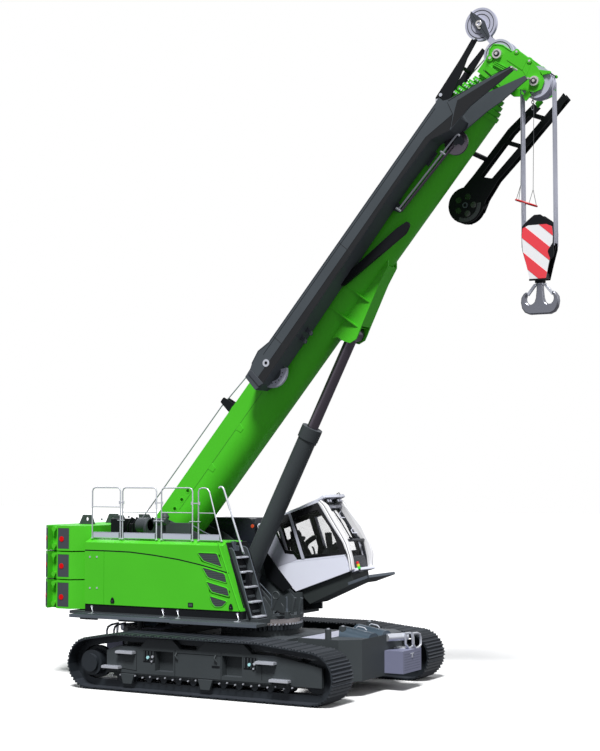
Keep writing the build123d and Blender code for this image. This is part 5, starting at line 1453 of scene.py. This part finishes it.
# -------- stowed jib
@dataclass
class Jib:
    """Fold lines, pins, sheaves, brackets and rod of the jib stowed along the boom, given in the boom's frame."""

    near: float = -0.950
    foot_hub: Flat = (4.511, -0.128)
    foot_sheave: Flat = (4.385, -0.20)
    rod_y: float = -0.56
    rod: tuple[Flat, Flat] = ((8.462, -0.365), (10.275, -0.462))
    bracket_y: Flat = (-0.50, -0.465)
    tip_sheave: Flat = (9.147, -0.844)
    tip_y: float = 0.800

    def build(self) -> None:
        """Build the jib's fittings."""
        lines, plates, bright, pale, rims = shapes(5, BOOM)
        self._fold_lines(lines, rims)
        self._foot_sheave(lines, plates, bright, pale)
        self._rod(plates, bright)
        self._rear_sheave(plates)
        lines.plate(rounded([(6.58, -0.19), (6.60, -0.34), (8.20, -0.78), (8.37, -0.74), (8.40, -0.66),
                             (8.15, -0.56)], 0.05), -0.56, -0.49)
        self._lower_folds()
        self._tip_sheave()
        for along, rise in ((10.660, 0.338), (10.538, 0.330)):
            bright.pin(along, rise, -0.50, -0.47, 0.034)
        for along, rise in ((11.863, 0.425), (11.878, 0.081)):
            bright.pin(along, rise, -0.53, -0.45, 0.020, 12)
        lines.make("jib_folds", BLACK, "boom")
        plates.make("jib_brackets", PANEL_GREY, "boom", bevel=0.004)
        bright.make("jib_pins", GALVANISED, "boom")
        pale.make("jib_sheave_segment", LAVENDER, "boom", bevel=0.004)
        rims.make("jib_edge_highlight", STEP_GREY, "boom")

    def _fold_lines(self, lines: Shape, rims: Shape) -> None:
        """Fold and seam lines on the near face, and a painted highlight along the upper edge.

        Args:
            lines, rims: Take the dark lines and the painted edge highlight.
        """
        y = self.near
        for path in ([(10.44, 0.034), (4.60, 0.030)], [(10.66, -0.105), (10.55, -0.335), (10.33, -0.455)],
                     [(10.55, -0.335), (9.90, -0.150), (4.15, -0.165)], [(5.02, 0.08), (5.02, -0.325)],
                     [(4.20, 0.08), (4.16, -0.33)], [(7.30, 0.08), (7.30, -0.27)],
                     [(10.69, -0.10), (11.50, -0.50), (11.86, -0.75)]):
            lines.line(path, y - 0.001, HAIRLINE, sides=6)
        # Painted highlight: a pale tube along the jib's upper edge
        rims.line([(4.30, 0.125), (4.58, 0.168), (4.87, 0.084), (10.53, 0.087)], y - 0.004, 0.007, sides=6)

    def _foot_sheave(self, lines: Shape, plates: Shape, bright: Shape, pale: Shape) -> None:
        """Pale sheave segment with its rivets, its hub and the brackets near it.

        Args:
            lines, plates, bright, pale: Take the dark rivets, the brackets, the hub ring and the segment.
        """
        y, (hub_along, hub_rise) = self.near, self.foot_hub
        bright.lathe([(0.034, 0.0), (0.075, 0.0), (0.075, 0.008), (0.034, 0.008)], (hub_along, y, hub_rise),
                     (0, -1, 0), 28)
        lines.pin(hub_along, hub_rise, y - 0.004, y, 0.034, 20)
        pale.plate(arc(self.foot_sheave, 0.335, 180, 320, 18)
                   + list(reversed(arc(self.foot_sheave, 0.20, 180, 320, 18))), -0.672, -0.60)
        for along, rise in arc(self.foot_sheave, 0.24, 200, 300, 5):
            lines.pin(along, rise, -0.676, -0.670, 0.012, 8)
        plates.plate([(4.10, 0.05), (4.20, 0.05), (4.16, -0.34), (4.06, -0.30)], y - 0.02, y + 0.45)
        for along in (5.32, 5.52):
            plates.plate(rounded([(along - 0.05, -0.30), (along + 0.05, -0.30), (along + 0.03, -0.47),
                                  (along - 0.04, -0.49)], 0.02), -0.74, -0.70)

    def _rod(self, plates: Shape, bright: Shape) -> None:
        """Bright rod under the jib with its clips and brackets.

        Args:
            plates, bright: Take the brackets, and the rod with its clips.
        """
        y, (start, end) = self.rod_y, self.rod
        bright.rod((start[0], y, start[1]), (end[0], y, end[1]), 0.018, 10)
        for along, rise in (start, (9.83, -0.44), end):
            bright.rod((along, y - 0.03, rise + 0.05), (along, y + 0.03, rise - 0.05), 0.024, 12)
        plates.plate([(8.36, -0.20), (8.56, -0.20), (8.52, -0.40), (8.42, -0.40)], *self.bracket_y)
        plates.plate([(10.18, -0.25), (10.34, -0.25), (10.31, -0.52), (10.23, -0.52)], *self.bracket_y)

    @staticmethod
    def _rear_sheave(plates: Shape) -> None:
        """Worn rope sheave under the jib and the rod that leads to it.

        Args:
            plates: Takes its pin and bracket.
        """
        worn = Shape(BOOM)
        worn.lathe([(0.05, 0.0), (0.235, 0.0), (0.24, 0.01), (0.225, 0.025), (0.24, 0.04), (0.235, 0.05), (0.05, 0.05)],
                   (10.13, -0.515, -0.52), (0, 1, 0), 40)
        worn.rod((8.47, -0.52, -0.41), (10.05, -0.52, -0.51), 0.030, 12)
        worn.make("jib_rear_sheave", ROD, "boom")
        plates.pin(10.13, -0.52, -0.53, -0.47, 0.045)
        plates.plate([(10.12, -0.45), (10.30, -0.45), (10.25, -0.66), (10.15, -0.66)], -0.52, -0.465)

    def _lower_folds(self) -> None:
        """Darker skins under the fold lines of the jib's body and near horn: painted shade of the lower faces, which
        turn down away from the light.
        """
        skins = Shape(BOOM)
        for outline in (
            [(4.16, -0.168), (9.90, -0.153), (10.55, -0.338), (10.33, -0.455), (10.28, -0.478), (9.917, -0.259),
             (8.98, -0.226), (7.255, -0.272), (5.478, -0.319), (4.156, -0.336)],
            [(10.60, -0.335), (10.80, -0.25), (11.50, -0.585), (11.86, -0.775), (11.838, -0.824), (11.496, -0.728),
             (11.273, -0.656), (10.86, -0.531), (10.34, -0.478), (10.36, -0.455)]):
            # Painted shade: a flat darker skin stands for the shaded lower face
            skins.plate(outline, self.near - 0.003, self.near + 0.001)
        skins.make("jib_shade_skins", SHADE_UNDER_FOLDS, "boom")

    def _tip_sheave(self) -> None:
        """Hub, windows and worn rim cover of the sheave at the far jib's foot; the windows are dark discs, painted
        shade.
        """
        windows, hub, cover = shapes(3, BOOM)
        centre, y = self.tip_sheave, self.tip_y
        # Dark discs: painted shade in the sheave's windows
        for along, rise in arc(centre, 0.175, 20, 308, 4):
            windows.pin(along, rise, y - 0.004, y + 0.001, 0.062, 20)
        hub.lathe([(0.036, 0.0), (0.058, 0.0), (0.058, 0.012), (0.036, 0.012)], (centre[0], y, centre[1]),
                  (0, -1, 0), 24)
        cover.plate(arc(centre, 0.335, 195, 315, 20) + list(reversed(arc(centre, 0.255, 195, 315, 20))), y - 0.012, y)
        for along, rise in arc(centre, 0.275, 195, 315, 20)[:20:2]:
            hub.pin(along, rise, y - 0.016, y - 0.010, 0.008, 6)
        windows.make("tip_sheave_window_shade", ROD, "boom")
        hub.make("tip_sheave_hub", STEP_GREY, "boom")
        cover.make("tip_sheave_cover", CHAIN, "boom", bevel=0.003)


# -------- hook block and hook
def clipped(outline: list[Flat], slope: float, level: float, above: bool) -> list[Flat]:
    """Part of an outline above or below a sloping line.

    Args:
        outline: Corners in (x, z).
        slope: Rise of the line per metre of x.
        level: Height of the line at x = 0.
        above: Whether the part above the line is kept.

    Returns:
        The clipped outline, empty when nothing is left.
    """
    kept: list[Flat] = []
    side = 1 if above else -1
    for i, (x0, z0) in enumerate(outline):
        x1, z1 = outline[(i + 1) % len(outline)]
        d0, d1 = side * (z0 - level - slope * x0), side * (z1 - level - slope * x1)
        if d0 >= 0:
            kept.append((x0, z0))
        if d0 * d1 < 0:
            share = d0 / (d0 - d1)
            kept.append((x0 + (x1 - x0) * share, z0 + (z1 - z0) * share))
    return kept


@dataclass
class HookBlock:
    """Striped near plate, middle falls, limit switch and forged hook with its latches."""

    x: float = 6.0966
    near: float = -0.270
    middle: float = -0.14
    stripe_top: float = 8.830
    # Half width and height of the near plate, from its foot up
    profile: tuple[Flat, ...] = ((0.160, 7.80), (0.216, 8.065), (0.288, 8.34), (0.303, 8.61), (0.286, 8.75),
                                 (0.18, 8.80))
    # Half width and height of the ramshorn, from its foot over the horn's tip and up the shank
    horn: tuple[Flat, ...] = ((0.0, 7.150), (0.20, 7.150), (0.29, 7.190), (0.345, 7.270), (0.368, 7.380),
                              (0.357, 7.470), (0.310, 7.540), (0.262, 7.575), (0.232, 7.545), (0.262, 7.500),
                              (0.276, 7.440), (0.262, 7.375), (0.205, 7.332), (0.145, 7.336), (0.098, 7.380),
                              (0.072, 7.460), (0.058, 7.60), (0.055, 7.775))
    period: float = 0.509
    slope: float = -0.85
    ring_centre: Point = (5.86, -0.20, 9.235)

    def build(self) -> None:
        """Build the block's fittings and the hook's."""
        dark = Shape()
        self._near_plate(dark)
        dark.lathe([(0.0, 0.0), (0.10, 0.0), (0.10, 0.07), (0.0, 0.07)], (self.x, self.middle, 7.735), (0, 0, 1), 24)
        dark.make("block_dark_fittings", BLACK, "falls", bevel=0.003)
        ropes = Shape()
        for x in (self.x - 0.313, self.x + 0.313):
            for dy in (-0.030, 0.034):
                ropes.post(x, self.middle + dy, 8.45, 11.30, 0.0125, 10)
        ropes.make("middle_falls", ROPE, "falls")
        self._switch()
        self._hook()

    def _near_plate(self, dark: Shape) -> None:
        """White near plate with its sloping red stripes and black fittings.

        Args:
            dark: Takes the black fittings.
        """
        outline = [(self.x + half, z) for half, z in self.profile]
        outline += [(self.x - half, z) for half, z in reversed(self.profile)]
        white, red = shapes(2)
        white.plate(outline, self.near - 0.007, self.near)
        start = self.stripe_top - self.slope * self.x
        for k in range(-1, 4):
            low = start - k * self.period
            band = clipped(clipped(outline, self.slope, low, True), self.slope, low + self.period / 2, False)
            if len(band) > 2:
                red.plate(band, self.near - 0.011, self.near - 0.006)
        for z in (7.79, 8.40):
            dark.pin(self.x, z, self.near - 0.02, self.near - 0.010, 0.001, 6)
        dark.plate(rect(self.x - 0.165, 7.765, self.x + 0.165, 7.80), self.near - 0.014, self.near)
        dark.plate(rounded([(self.x + 0.20, 8.30), (self.x + 0.31, 8.46), (self.x + 0.32, 8.20),
                            (self.x + 0.26, 8.14)], 0.03), self.near - 0.02, self.near + 0.01)
        white.make("block_white_plate", STRIPE_WHITE, "falls")
        red.make("block_red_stripes", STRIPE_RED, "falls")

    def _switch(self) -> None:
        """Ring weight of the hoist limit switch on its chains."""
        wires, ring = shapes(2)
        centre = Vector(self.ring_centre)
        loop = []
        for k in range(24):
            cosine, sine = math.cos(2 * math.pi * k / 24), math.sin(2 * math.pi * k / 24)
            loop.append(tuple(centre + Vector((0.20 * cosine, 0.15 * sine, -0.075 * cosine))))
        ring.tube(loop, 0.017, sides=8, closed=True)
        for top, feet in (((6.045, -0.33, 9.45), (0, 20)), ((5.80, -0.32, 9.56), (12, 16))):
            for foot in feet:
                wires.tube([top, loop[foot]], 0.005, sides=6)
            wires.tube([top, (top[0] + 0.03, top[1], 11.05)], 0.005, sides=6)
        chain(wires, (6.05, -0.33, 10.95), (6.06, -0.33, 11.28), 0.07, 0.008)
        ring.make("limit_ring", RED, "falls")
        wires.make("limit_wires", CHAIN, "falls")

    def _hook(self) -> None:
        """Forged ramshorn hook, which takes the place of the plain one, its sprung latches and its collar."""
        latches, collar, horns = shapes(3)
        outline = [(self.x + half, z) for half, z in self.horn]
        outline += [(self.x - half, z) for half, z in reversed(self.horn[1:])]
        horns.plate(outline, self.middle - 0.065, self.middle + 0.065)
        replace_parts(horns.make("ramshorn_hook", FORGED, "hook", bevel=0.034), "hook")
        for side in (-1, 1):
            latches.plate([(self.x + side * half, z) for half, z in ((0.065, 7.70), (0.115, 7.72), (0.270, 7.53),
                                                                    (0.225, 7.50))], -0.165, -0.115)
            latches.pin(self.x + side * 0.085, 7.70, -0.18, -0.10, 0.022, 12)
        collar.lathe([(0.0, 0.0), (0.085, 0.0), (0.075, 0.05), (0.0, 0.05)], (self.x, self.middle, 7.69), (0, 0, 1), 24)
        latches.make("hook_latches", GALVANISED, "hook", bevel=0.004)
        collar.make("hook_collar", FORGED, "hook", bevel=0.004)


# -------- lower works
@dataclass
class LowerWorks:
    """Slewing bolts, ballast lids, hand loops, tool box fronts and track frame fittings."""

    frame_y: float = 2.30
    lid_y: tuple[float, ...] = (-0.36, 0.20)
    box_face: float = 3.150
    seams: tuple[tuple[Flat, ...], ...] = (
        ((-0.53, 0.85), (-0.53, 0.345)), ((0.51, 0.85), (0.51, 0.345)), ((-0.53, 0.79), (0.51, 0.79)),
        ((-2.05, 0.345), (2.05, 0.345)), ((-1.42, 0.78), (-1.42, 0.40)), ((1.40, 0.78), (1.40, 0.40)),
        ((-1.90, 0.44), (-1.42, 0.40)))
    steps: tuple[Flat, ...] = ((-1.64, 0.770), (-1.97, 0.470), (1.52, 0.750), (1.82, 0.440))

    def build(self) -> None:
        """Build the fittings of the lower works."""
        self._slewing()
        self._ballast()
        self._loops()
        self._tool_boxes()
        self._track_frames()

    def _slewing(self) -> None:
        """Ring of bolts over the slewing gear."""
        heads = ring_of_points((0.0, 0.0, 1.214), 0.842, 60, "Z")
        bolt_heads(heads, (0, 0, 1), 0.019, 0.036).make("slewing_bolts", GALVANISED, "undercarriage", smooth=False)

    def _ballast(self) -> None:
        """Pale top skins, barrel lids, lugs and posts of both ballast blocks."""
        skins, lids, grey, bright = shapes(4)
        for end in (-1, 1):
            for y in self.lid_y:
                self._lid(lids, end, y)
                bright.tube([(x * end, y + 0.06, z) for x, z in ((2.34, 1.235), (2.38, 1.262), (2.52, 1.238),
                                                                 (2.56, 1.195))], 0.012, sides=8)
            skins.plate(rect(1.60 * end, 1.081, 2.10 * end, 1.087), -1.15, 1.15)
            grey.block((2.02 * end, -0.42, 1.08), (2.08 * end, -0.24, 1.25))
            for y in (-0.52, 0.62, -1.12):
                grey.post(2.16 * end, y, 1.08, 1.27, 0.062, 20)
                bright.post(2.16 * end, y, 1.27, 1.285, 0.030, 12)
        skins.make("ballast_skins", LAVENDER, "undercarriage", bevel=0.002)
        lids.make("ballast_lids", LID_BLUE, "undercarriage")
        grey.make("ballast_posts", DARK_GREY, "undercarriage", bevel=0.004)
        bright.make("ballast_handles", GALVANISED, "undercarriage")

    @staticmethod
    def _lid(lids: Shape, end: int, y: float, steps: int = 12) -> None:
        """Sloping lid with a barrel top.

        Args:
            lids: Takes the lid.
            end: 1 at the front, -1 at the rear.
            y: Its middle.
            steps: Number of flats over the barrel.
        """
        angles = [math.pi * k / steps for k in range(steps + 1)]
        rings = [[lids.mesh.verts.new((x * end, y + 0.26 * math.cos(a), z + 0.17 * math.sin(a))) for a in angles]
                 for x, z in ((2.12, 1.085), (2.74, 0.985))]
        for k in range(steps):
            lids.mesh.faces.new([rings[0][k], rings[0][k + 1], rings[1][k + 1], rings[1][k]])
        lids.mesh.faces.new(rings[0])
        lids.mesh.faces.new(rings[1])
        lids.mesh.faces.new([rings[0][0], rings[0][steps], rings[1][steps], rings[1][0]])

    @staticmethod
    def _loops() -> None:
        """Silver hand loops at the front left and rear right corners."""
        loops, drum = shapes(2)
        path = ((0.50, 1.085), (0.72, 1.075), (0.84, 1.04), (0.88, 0.97), (0.88, 0.84), (0.83, 0.80), (0.66, 0.775),
                (0.52, 0.88))
        for end in (-1, 1):
            for x, shift in ((3.00, 0.0), (3.12, 0.08)):
                loops.tube([(end * x, end * (y + shift), z) for y, z in path], 0.022, sides=10, closed=True)
            drum.rod((end * 2.76, end * 0.18, 1.02), (end * 2.98, end * 0.62, 1.02), 0.075, 24)
            drum.block((end * 2.75, end * 0.50, 0.78), (end * 2.98, end * 0.78, 0.80))
        loops.make("hand_loops", GALVANISED, "undercarriage")
        drum.make("loop_carriers", GALVANISED, "undercarriage", bevel=0.004)

    def _tool_boxes(self) -> None:
        """Perforated fronts and latches of the two tool boxes; the perforations are dark discs, painted shade of the
        box's inside.
        """
        holes, latch = shapes(2)
        for end in (-1, 1):
            face = end * self.box_face
            # Dark discs for the perforations: painted shade of the box's inside
            for row, column in product(range(7), range(14)):
                y, z = end * (0.17 + column * 0.052), 0.41 + row * 0.05
                holes.rod((face, y, z), (face + end * 0.001, y, z), 0.010, 6)
            latch.block((face, end * 0.42, 0.70), (face + end * 0.012, end * 0.56, 0.72))
            latch.block((face, end * 0.47, 0.63), (face + end * 0.014, end * 0.51, 0.72))
        holes.make("tool_box_hole_shade", PANEL_GREY, "undercarriage", smooth=False)
        latch.make("tool_box_latches", GALVANISED, "undercarriage", bevel=0.002)

    def _track_frames(self) -> None:
        """Windows, sight glasses, hooks, seams, bolts and steps on both track frames."""
        dark, bright, glow, grey, lines = shapes(5)
        for side in (-1, 1):
            face = side * self.frame_y
            self._frame_windows(dark, bright, glow, grey, side)
            for path in self.seams:
                lines.line(path, face + side * 0.001, HAIRLINE, sides=6)
            for x in (-0.48, 0.40):
                grey.tube([(x, face + side * 0.02, 0.80), (x - 0.01, face + side * 0.05, 0.74),
                           (x + 0.03, face + side * 0.03, 0.68)], 0.016, sides=8)
            dark.block((0.31, face, 0.57), (0.48, face + side * 0.012, 0.60))
            self._frame_foot(bright, grey, side)
            self._frame_steps(bright, grey, side)
        # Black sheets: painted shade in the frames' openings
        dark.make("frame_opening_shade", BLACK, "undercarriage")
        grey.make("frame_fittings", DARK_GREY, "undercarriage", bevel=0.003)
        bright.make("frame_bright_parts", GALVANISED, "undercarriage")
        glow.make("frame_sight_glasses", SIGHT_CYAN, "undercarriage")
        lines.make("frame_seams", BLACK, "undercarriage")

    def _frame_windows(self, dark: Shape, bright: Shape, glow: Shape, grey: Shape, side: int) -> None:
        """Barred windows with their sight glasses and taps.

        Args:
            dark, grey, bright, glow: Take the black sheets painted as the shade of the openings, the taps, the sight
                glasses and the bars.
            side: -1 on the right, 1 on the left.
        """
        face = side * self.frame_y
        out = face + side * 0.03
        for x, glass_x in ((-1.262, -1.145), (1.006, 1.140)):
            # Black sheet: painted shade inside the window's opening
            dark.block((x, face, 0.575), (x + 0.27, face + side * 0.004, 0.800))
            for k in range(4):
                grey.block((x + 0.015 + k * 0.07, face, 0.60), (x + 0.035 + k * 0.07, face + side * 0.018, 0.79))
            glow.pin(glass_x, 0.670, *sorted((face, out)), 0.030)
            bright.pin(glass_x + 0.09, 0.600, *sorted((face, out)), 0.018, 12)
            bright.pin(glass_x + 0.11, 0.690, *sorted((face, out)), 0.026, 12)

    def _frame_foot(self, bright: Shape, grey: Shape, side: int) -> None:
        """Roller bolts along the frame's foot, and the guides under it.

        Args:
            bright, grey: Take the bolts and the guides.
            side: -1 on the right, 1 on the left.
        """
        face = side * self.frame_y
        near, far = sorted((face - side * 0.02, face + side * 0.012))
        for k in range(24):
            bright.pin(-1.98 + k * 0.175, 0.300 if k % 2 else 0.275, near, far, 0.016, 6)
        for x in (-1.62, 0.17):
            grey.plate([(x - 0.16, 0.33), (x + 0.16, 0.33), (x + 0.10, 0.14), (x - 0.10, 0.14)],
                       face - side * 0.03, face + side * 0.03)

    def _frame_steps(self, bright: Shape, grey: Shape, side: int) -> None:
        """Slatted steps that stand out from the frame, with their carriers.

        Args:
            bright, grey: Take the slats and the carriers.
            side: -1 on the right, 1 on the left.
        """
        face = side * self.frame_y
        for x, z in self.steps:
            for k in range(9):
                bright.block((x - 0.185 + k * 0.043, face + side * 0.008, z - 0.001),
                             (x - 0.165 + k * 0.043, face + side * 0.122, z + 0.008))
            for dx in (-0.17, 0.17):
                grey.block((x + dx - 0.02, face, z - 0.085), (x + dx + 0.02, face + side * 0.10, z - 0.045))


# -------- dressing of the carried-over nodes
@dataclass
class FrameDressing:
    """Gives every carried-over node its finish and smooth shading."""

    smooth_angle: float = math.radians(30)
    special: dict[str, Finish] = field(default_factory=lambda: {
        "house_sill": BLACK, "left_tank": HOOD, "tool_boxes": BOX_LAVENDER, "cab_base": BASE_GREY,
        "stowed_jib": JIB_GREY, "slew_race": RACE})

    def build(self) -> None:
        """Dress each node by its slot in the record, unless special names another finish."""
        for entry in frame["record"]["subparts"]:
            name = entry["node"]
            finish = self.special.get(name) or FINISHES[entry["material_slot"]]
            node = frame["nodes"][name]
            node.data.materials.clear()
            node.data.materials.append(finish.material())
            node.data.shade_smooth()
            node.data.set_sharp_from_angle(angle=self.smooth_angle)
            log.info("node %s in %s", name, finish.name)


# -------- stage
@dataclass
class Stage:
    """Floor, world, lamps and camera."""

    camera_at: Point = (16.08, -27.08, 4.24)
    azimuth: float = math.radians(29.24)
    pitch: float = math.radians(3.58)
    lens: float = 73.93
    ambient: float = 0.25
    reflected: float = 0.70
    # Each lamp: its name, the direction towards it, its strength and its apparent width in degrees
    lamps: tuple[tuple[str, Point, float, float], ...] = (
        ("key", (0.28, -0.62, 1.0), 4.1, 14.0), ("front", (1.0, -0.15, 0.42), 0.30, 30.0),
        ("left_rim", (-0.8, 0.7, 0.7), 0.4, 30.0))
    floor_half: float = 120.0

    def build(self) -> None:
        """Make the floor, the world, the lamps and the camera."""
        self._camera()
        self._world()
        for lamp in self.lamps:
            self._lamp(*lamp)
        self._floor()

    def _camera(self) -> None:
        """Camera at the viewing angle, with no depth of field."""
        data = bpy.data.cameras.new("camera")
        data.lens = self.lens
        data.clip_end = 500
        camera = bpy.data.objects.new("camera", data)
        bpy.context.scene.collection.objects.link(camera)
        flat = math.cos(self.pitch)
        heading = Vector((-math.sin(self.azimuth) * flat, math.cos(self.azimuth) * flat, math.sin(self.pitch)))
        camera.location = self.camera_at
        camera.rotation_euler = heading.to_track_quat("-Z", "Y").to_euler()
        bpy.context.scene.camera = camera
        bpy.context.scene.view_settings.view_transform = "Standard"

    @staticmethod
    def _pale_rays(tree: Tree) -> Socket:
        """Rays that see the background white: those of the camera, also through glass.

        Args:
            tree: Nodes of the world or of a material.

        Returns:
            A value that is 1 for such rays.
        """
        return tree.add("Math", "Value", {0: tree.add("LightPath", "Is Camera Ray"),
                                          1: tree.add("LightPath", "Is Transmission Ray")}, operation="MAXIMUM")

    def _world(self) -> None:
        """White to the camera, a pale studio to reflections, softer as light."""
        world = bpy.data.worlds.new("studio")
        bpy.context.scene.world = world
        tree = Tree(world)
        shown = tree.nodes["Background"]
        tree.feed(shown, {"Strength": 1.0, "Color": (1, 1, 1, 1)})
        studio = tree.ranged(tree.add("LightPath", "Is Glossy Ray"), self.ambient, self.reflected)
        light = tree.add("Background", "Background", {"Color": (0.93, 0.95, 1.0, 1), "Strength": studio})
        mixed = tree.add("MixShader", "Shader", {"Fac": self._pale_rays(tree), 1: light,
                                                 2: shown.outputs["Background"]})
        tree.feed(tree.nodes["World Output"], {"Surface": mixed})

    @staticmethod
    def _lamp(name: str, towards: Point, strength: float, soft: float) -> None:
        """Soft distant lamp.

        Args:
            name: Lamp name.
            towards: Direction from the crane to the lamp.
            strength: Lamp strength.
            soft: Apparent width in degrees.
        """
        data = bpy.data.lights.new(name, "SUN")
        data.energy = strength
        data.angle = math.radians(soft)
        lamp = bpy.data.objects.new(name, data)
        lamp.rotation_euler = Vector(towards).to_track_quat("Z", "Y").to_euler()
        bpy.context.scene.collection.objects.link(lamp)

    def _floor(self) -> None:
        """Pale floor that takes the crane's shadow and looks white from the camera."""
        data = bpy.data.meshes.new("floor")
        h = self.floor_half
        data.from_pydata([(-h, -h, 0), (h, -h, 0), (h, h, 0), (-h, h, 0)], [], [(0, 1, 2, 3)])
        floor = bpy.data.objects.new("floor", data)
        floor.location.z = CAD_BOX[0][2] - 0.001
        bpy.context.scene.collection.objects.link(floor)
        paint = bpy.data.materials.new("floor_paint")
        tree = Tree(paint)
        tone = tree.add("Mix", "Result", {"A": (0.14, 0.14, 0.15, 1), "B": (1.0, 1.0, 1.0, 1),
                                          "Factor": self._pale_rays(tree)}, data_type="RGBA")
        tree.feed(tree.nodes["Principled BSDF"], {"Roughness": 0.95, "Specular IOR Level": 0.1, "Base Color": tone})
        data.materials.append(paint)


def main() -> None:
    """Build the stage and dress the crane, one sub-assembly after another."""
    logging.basicConfig(level=logging.INFO, format="%(name)s %(message)s")
    Stage().build()
    FrameDressing().build()
    for assembly in (House(), Catwalk(), RoofRails(), Ladder(), Counterweight(), Deck(), Cab(), Boom(),
                     Jib(), HookBlock(), LowerWorks()):
        assembly.build()


if __name__ == "__main__":
    main()
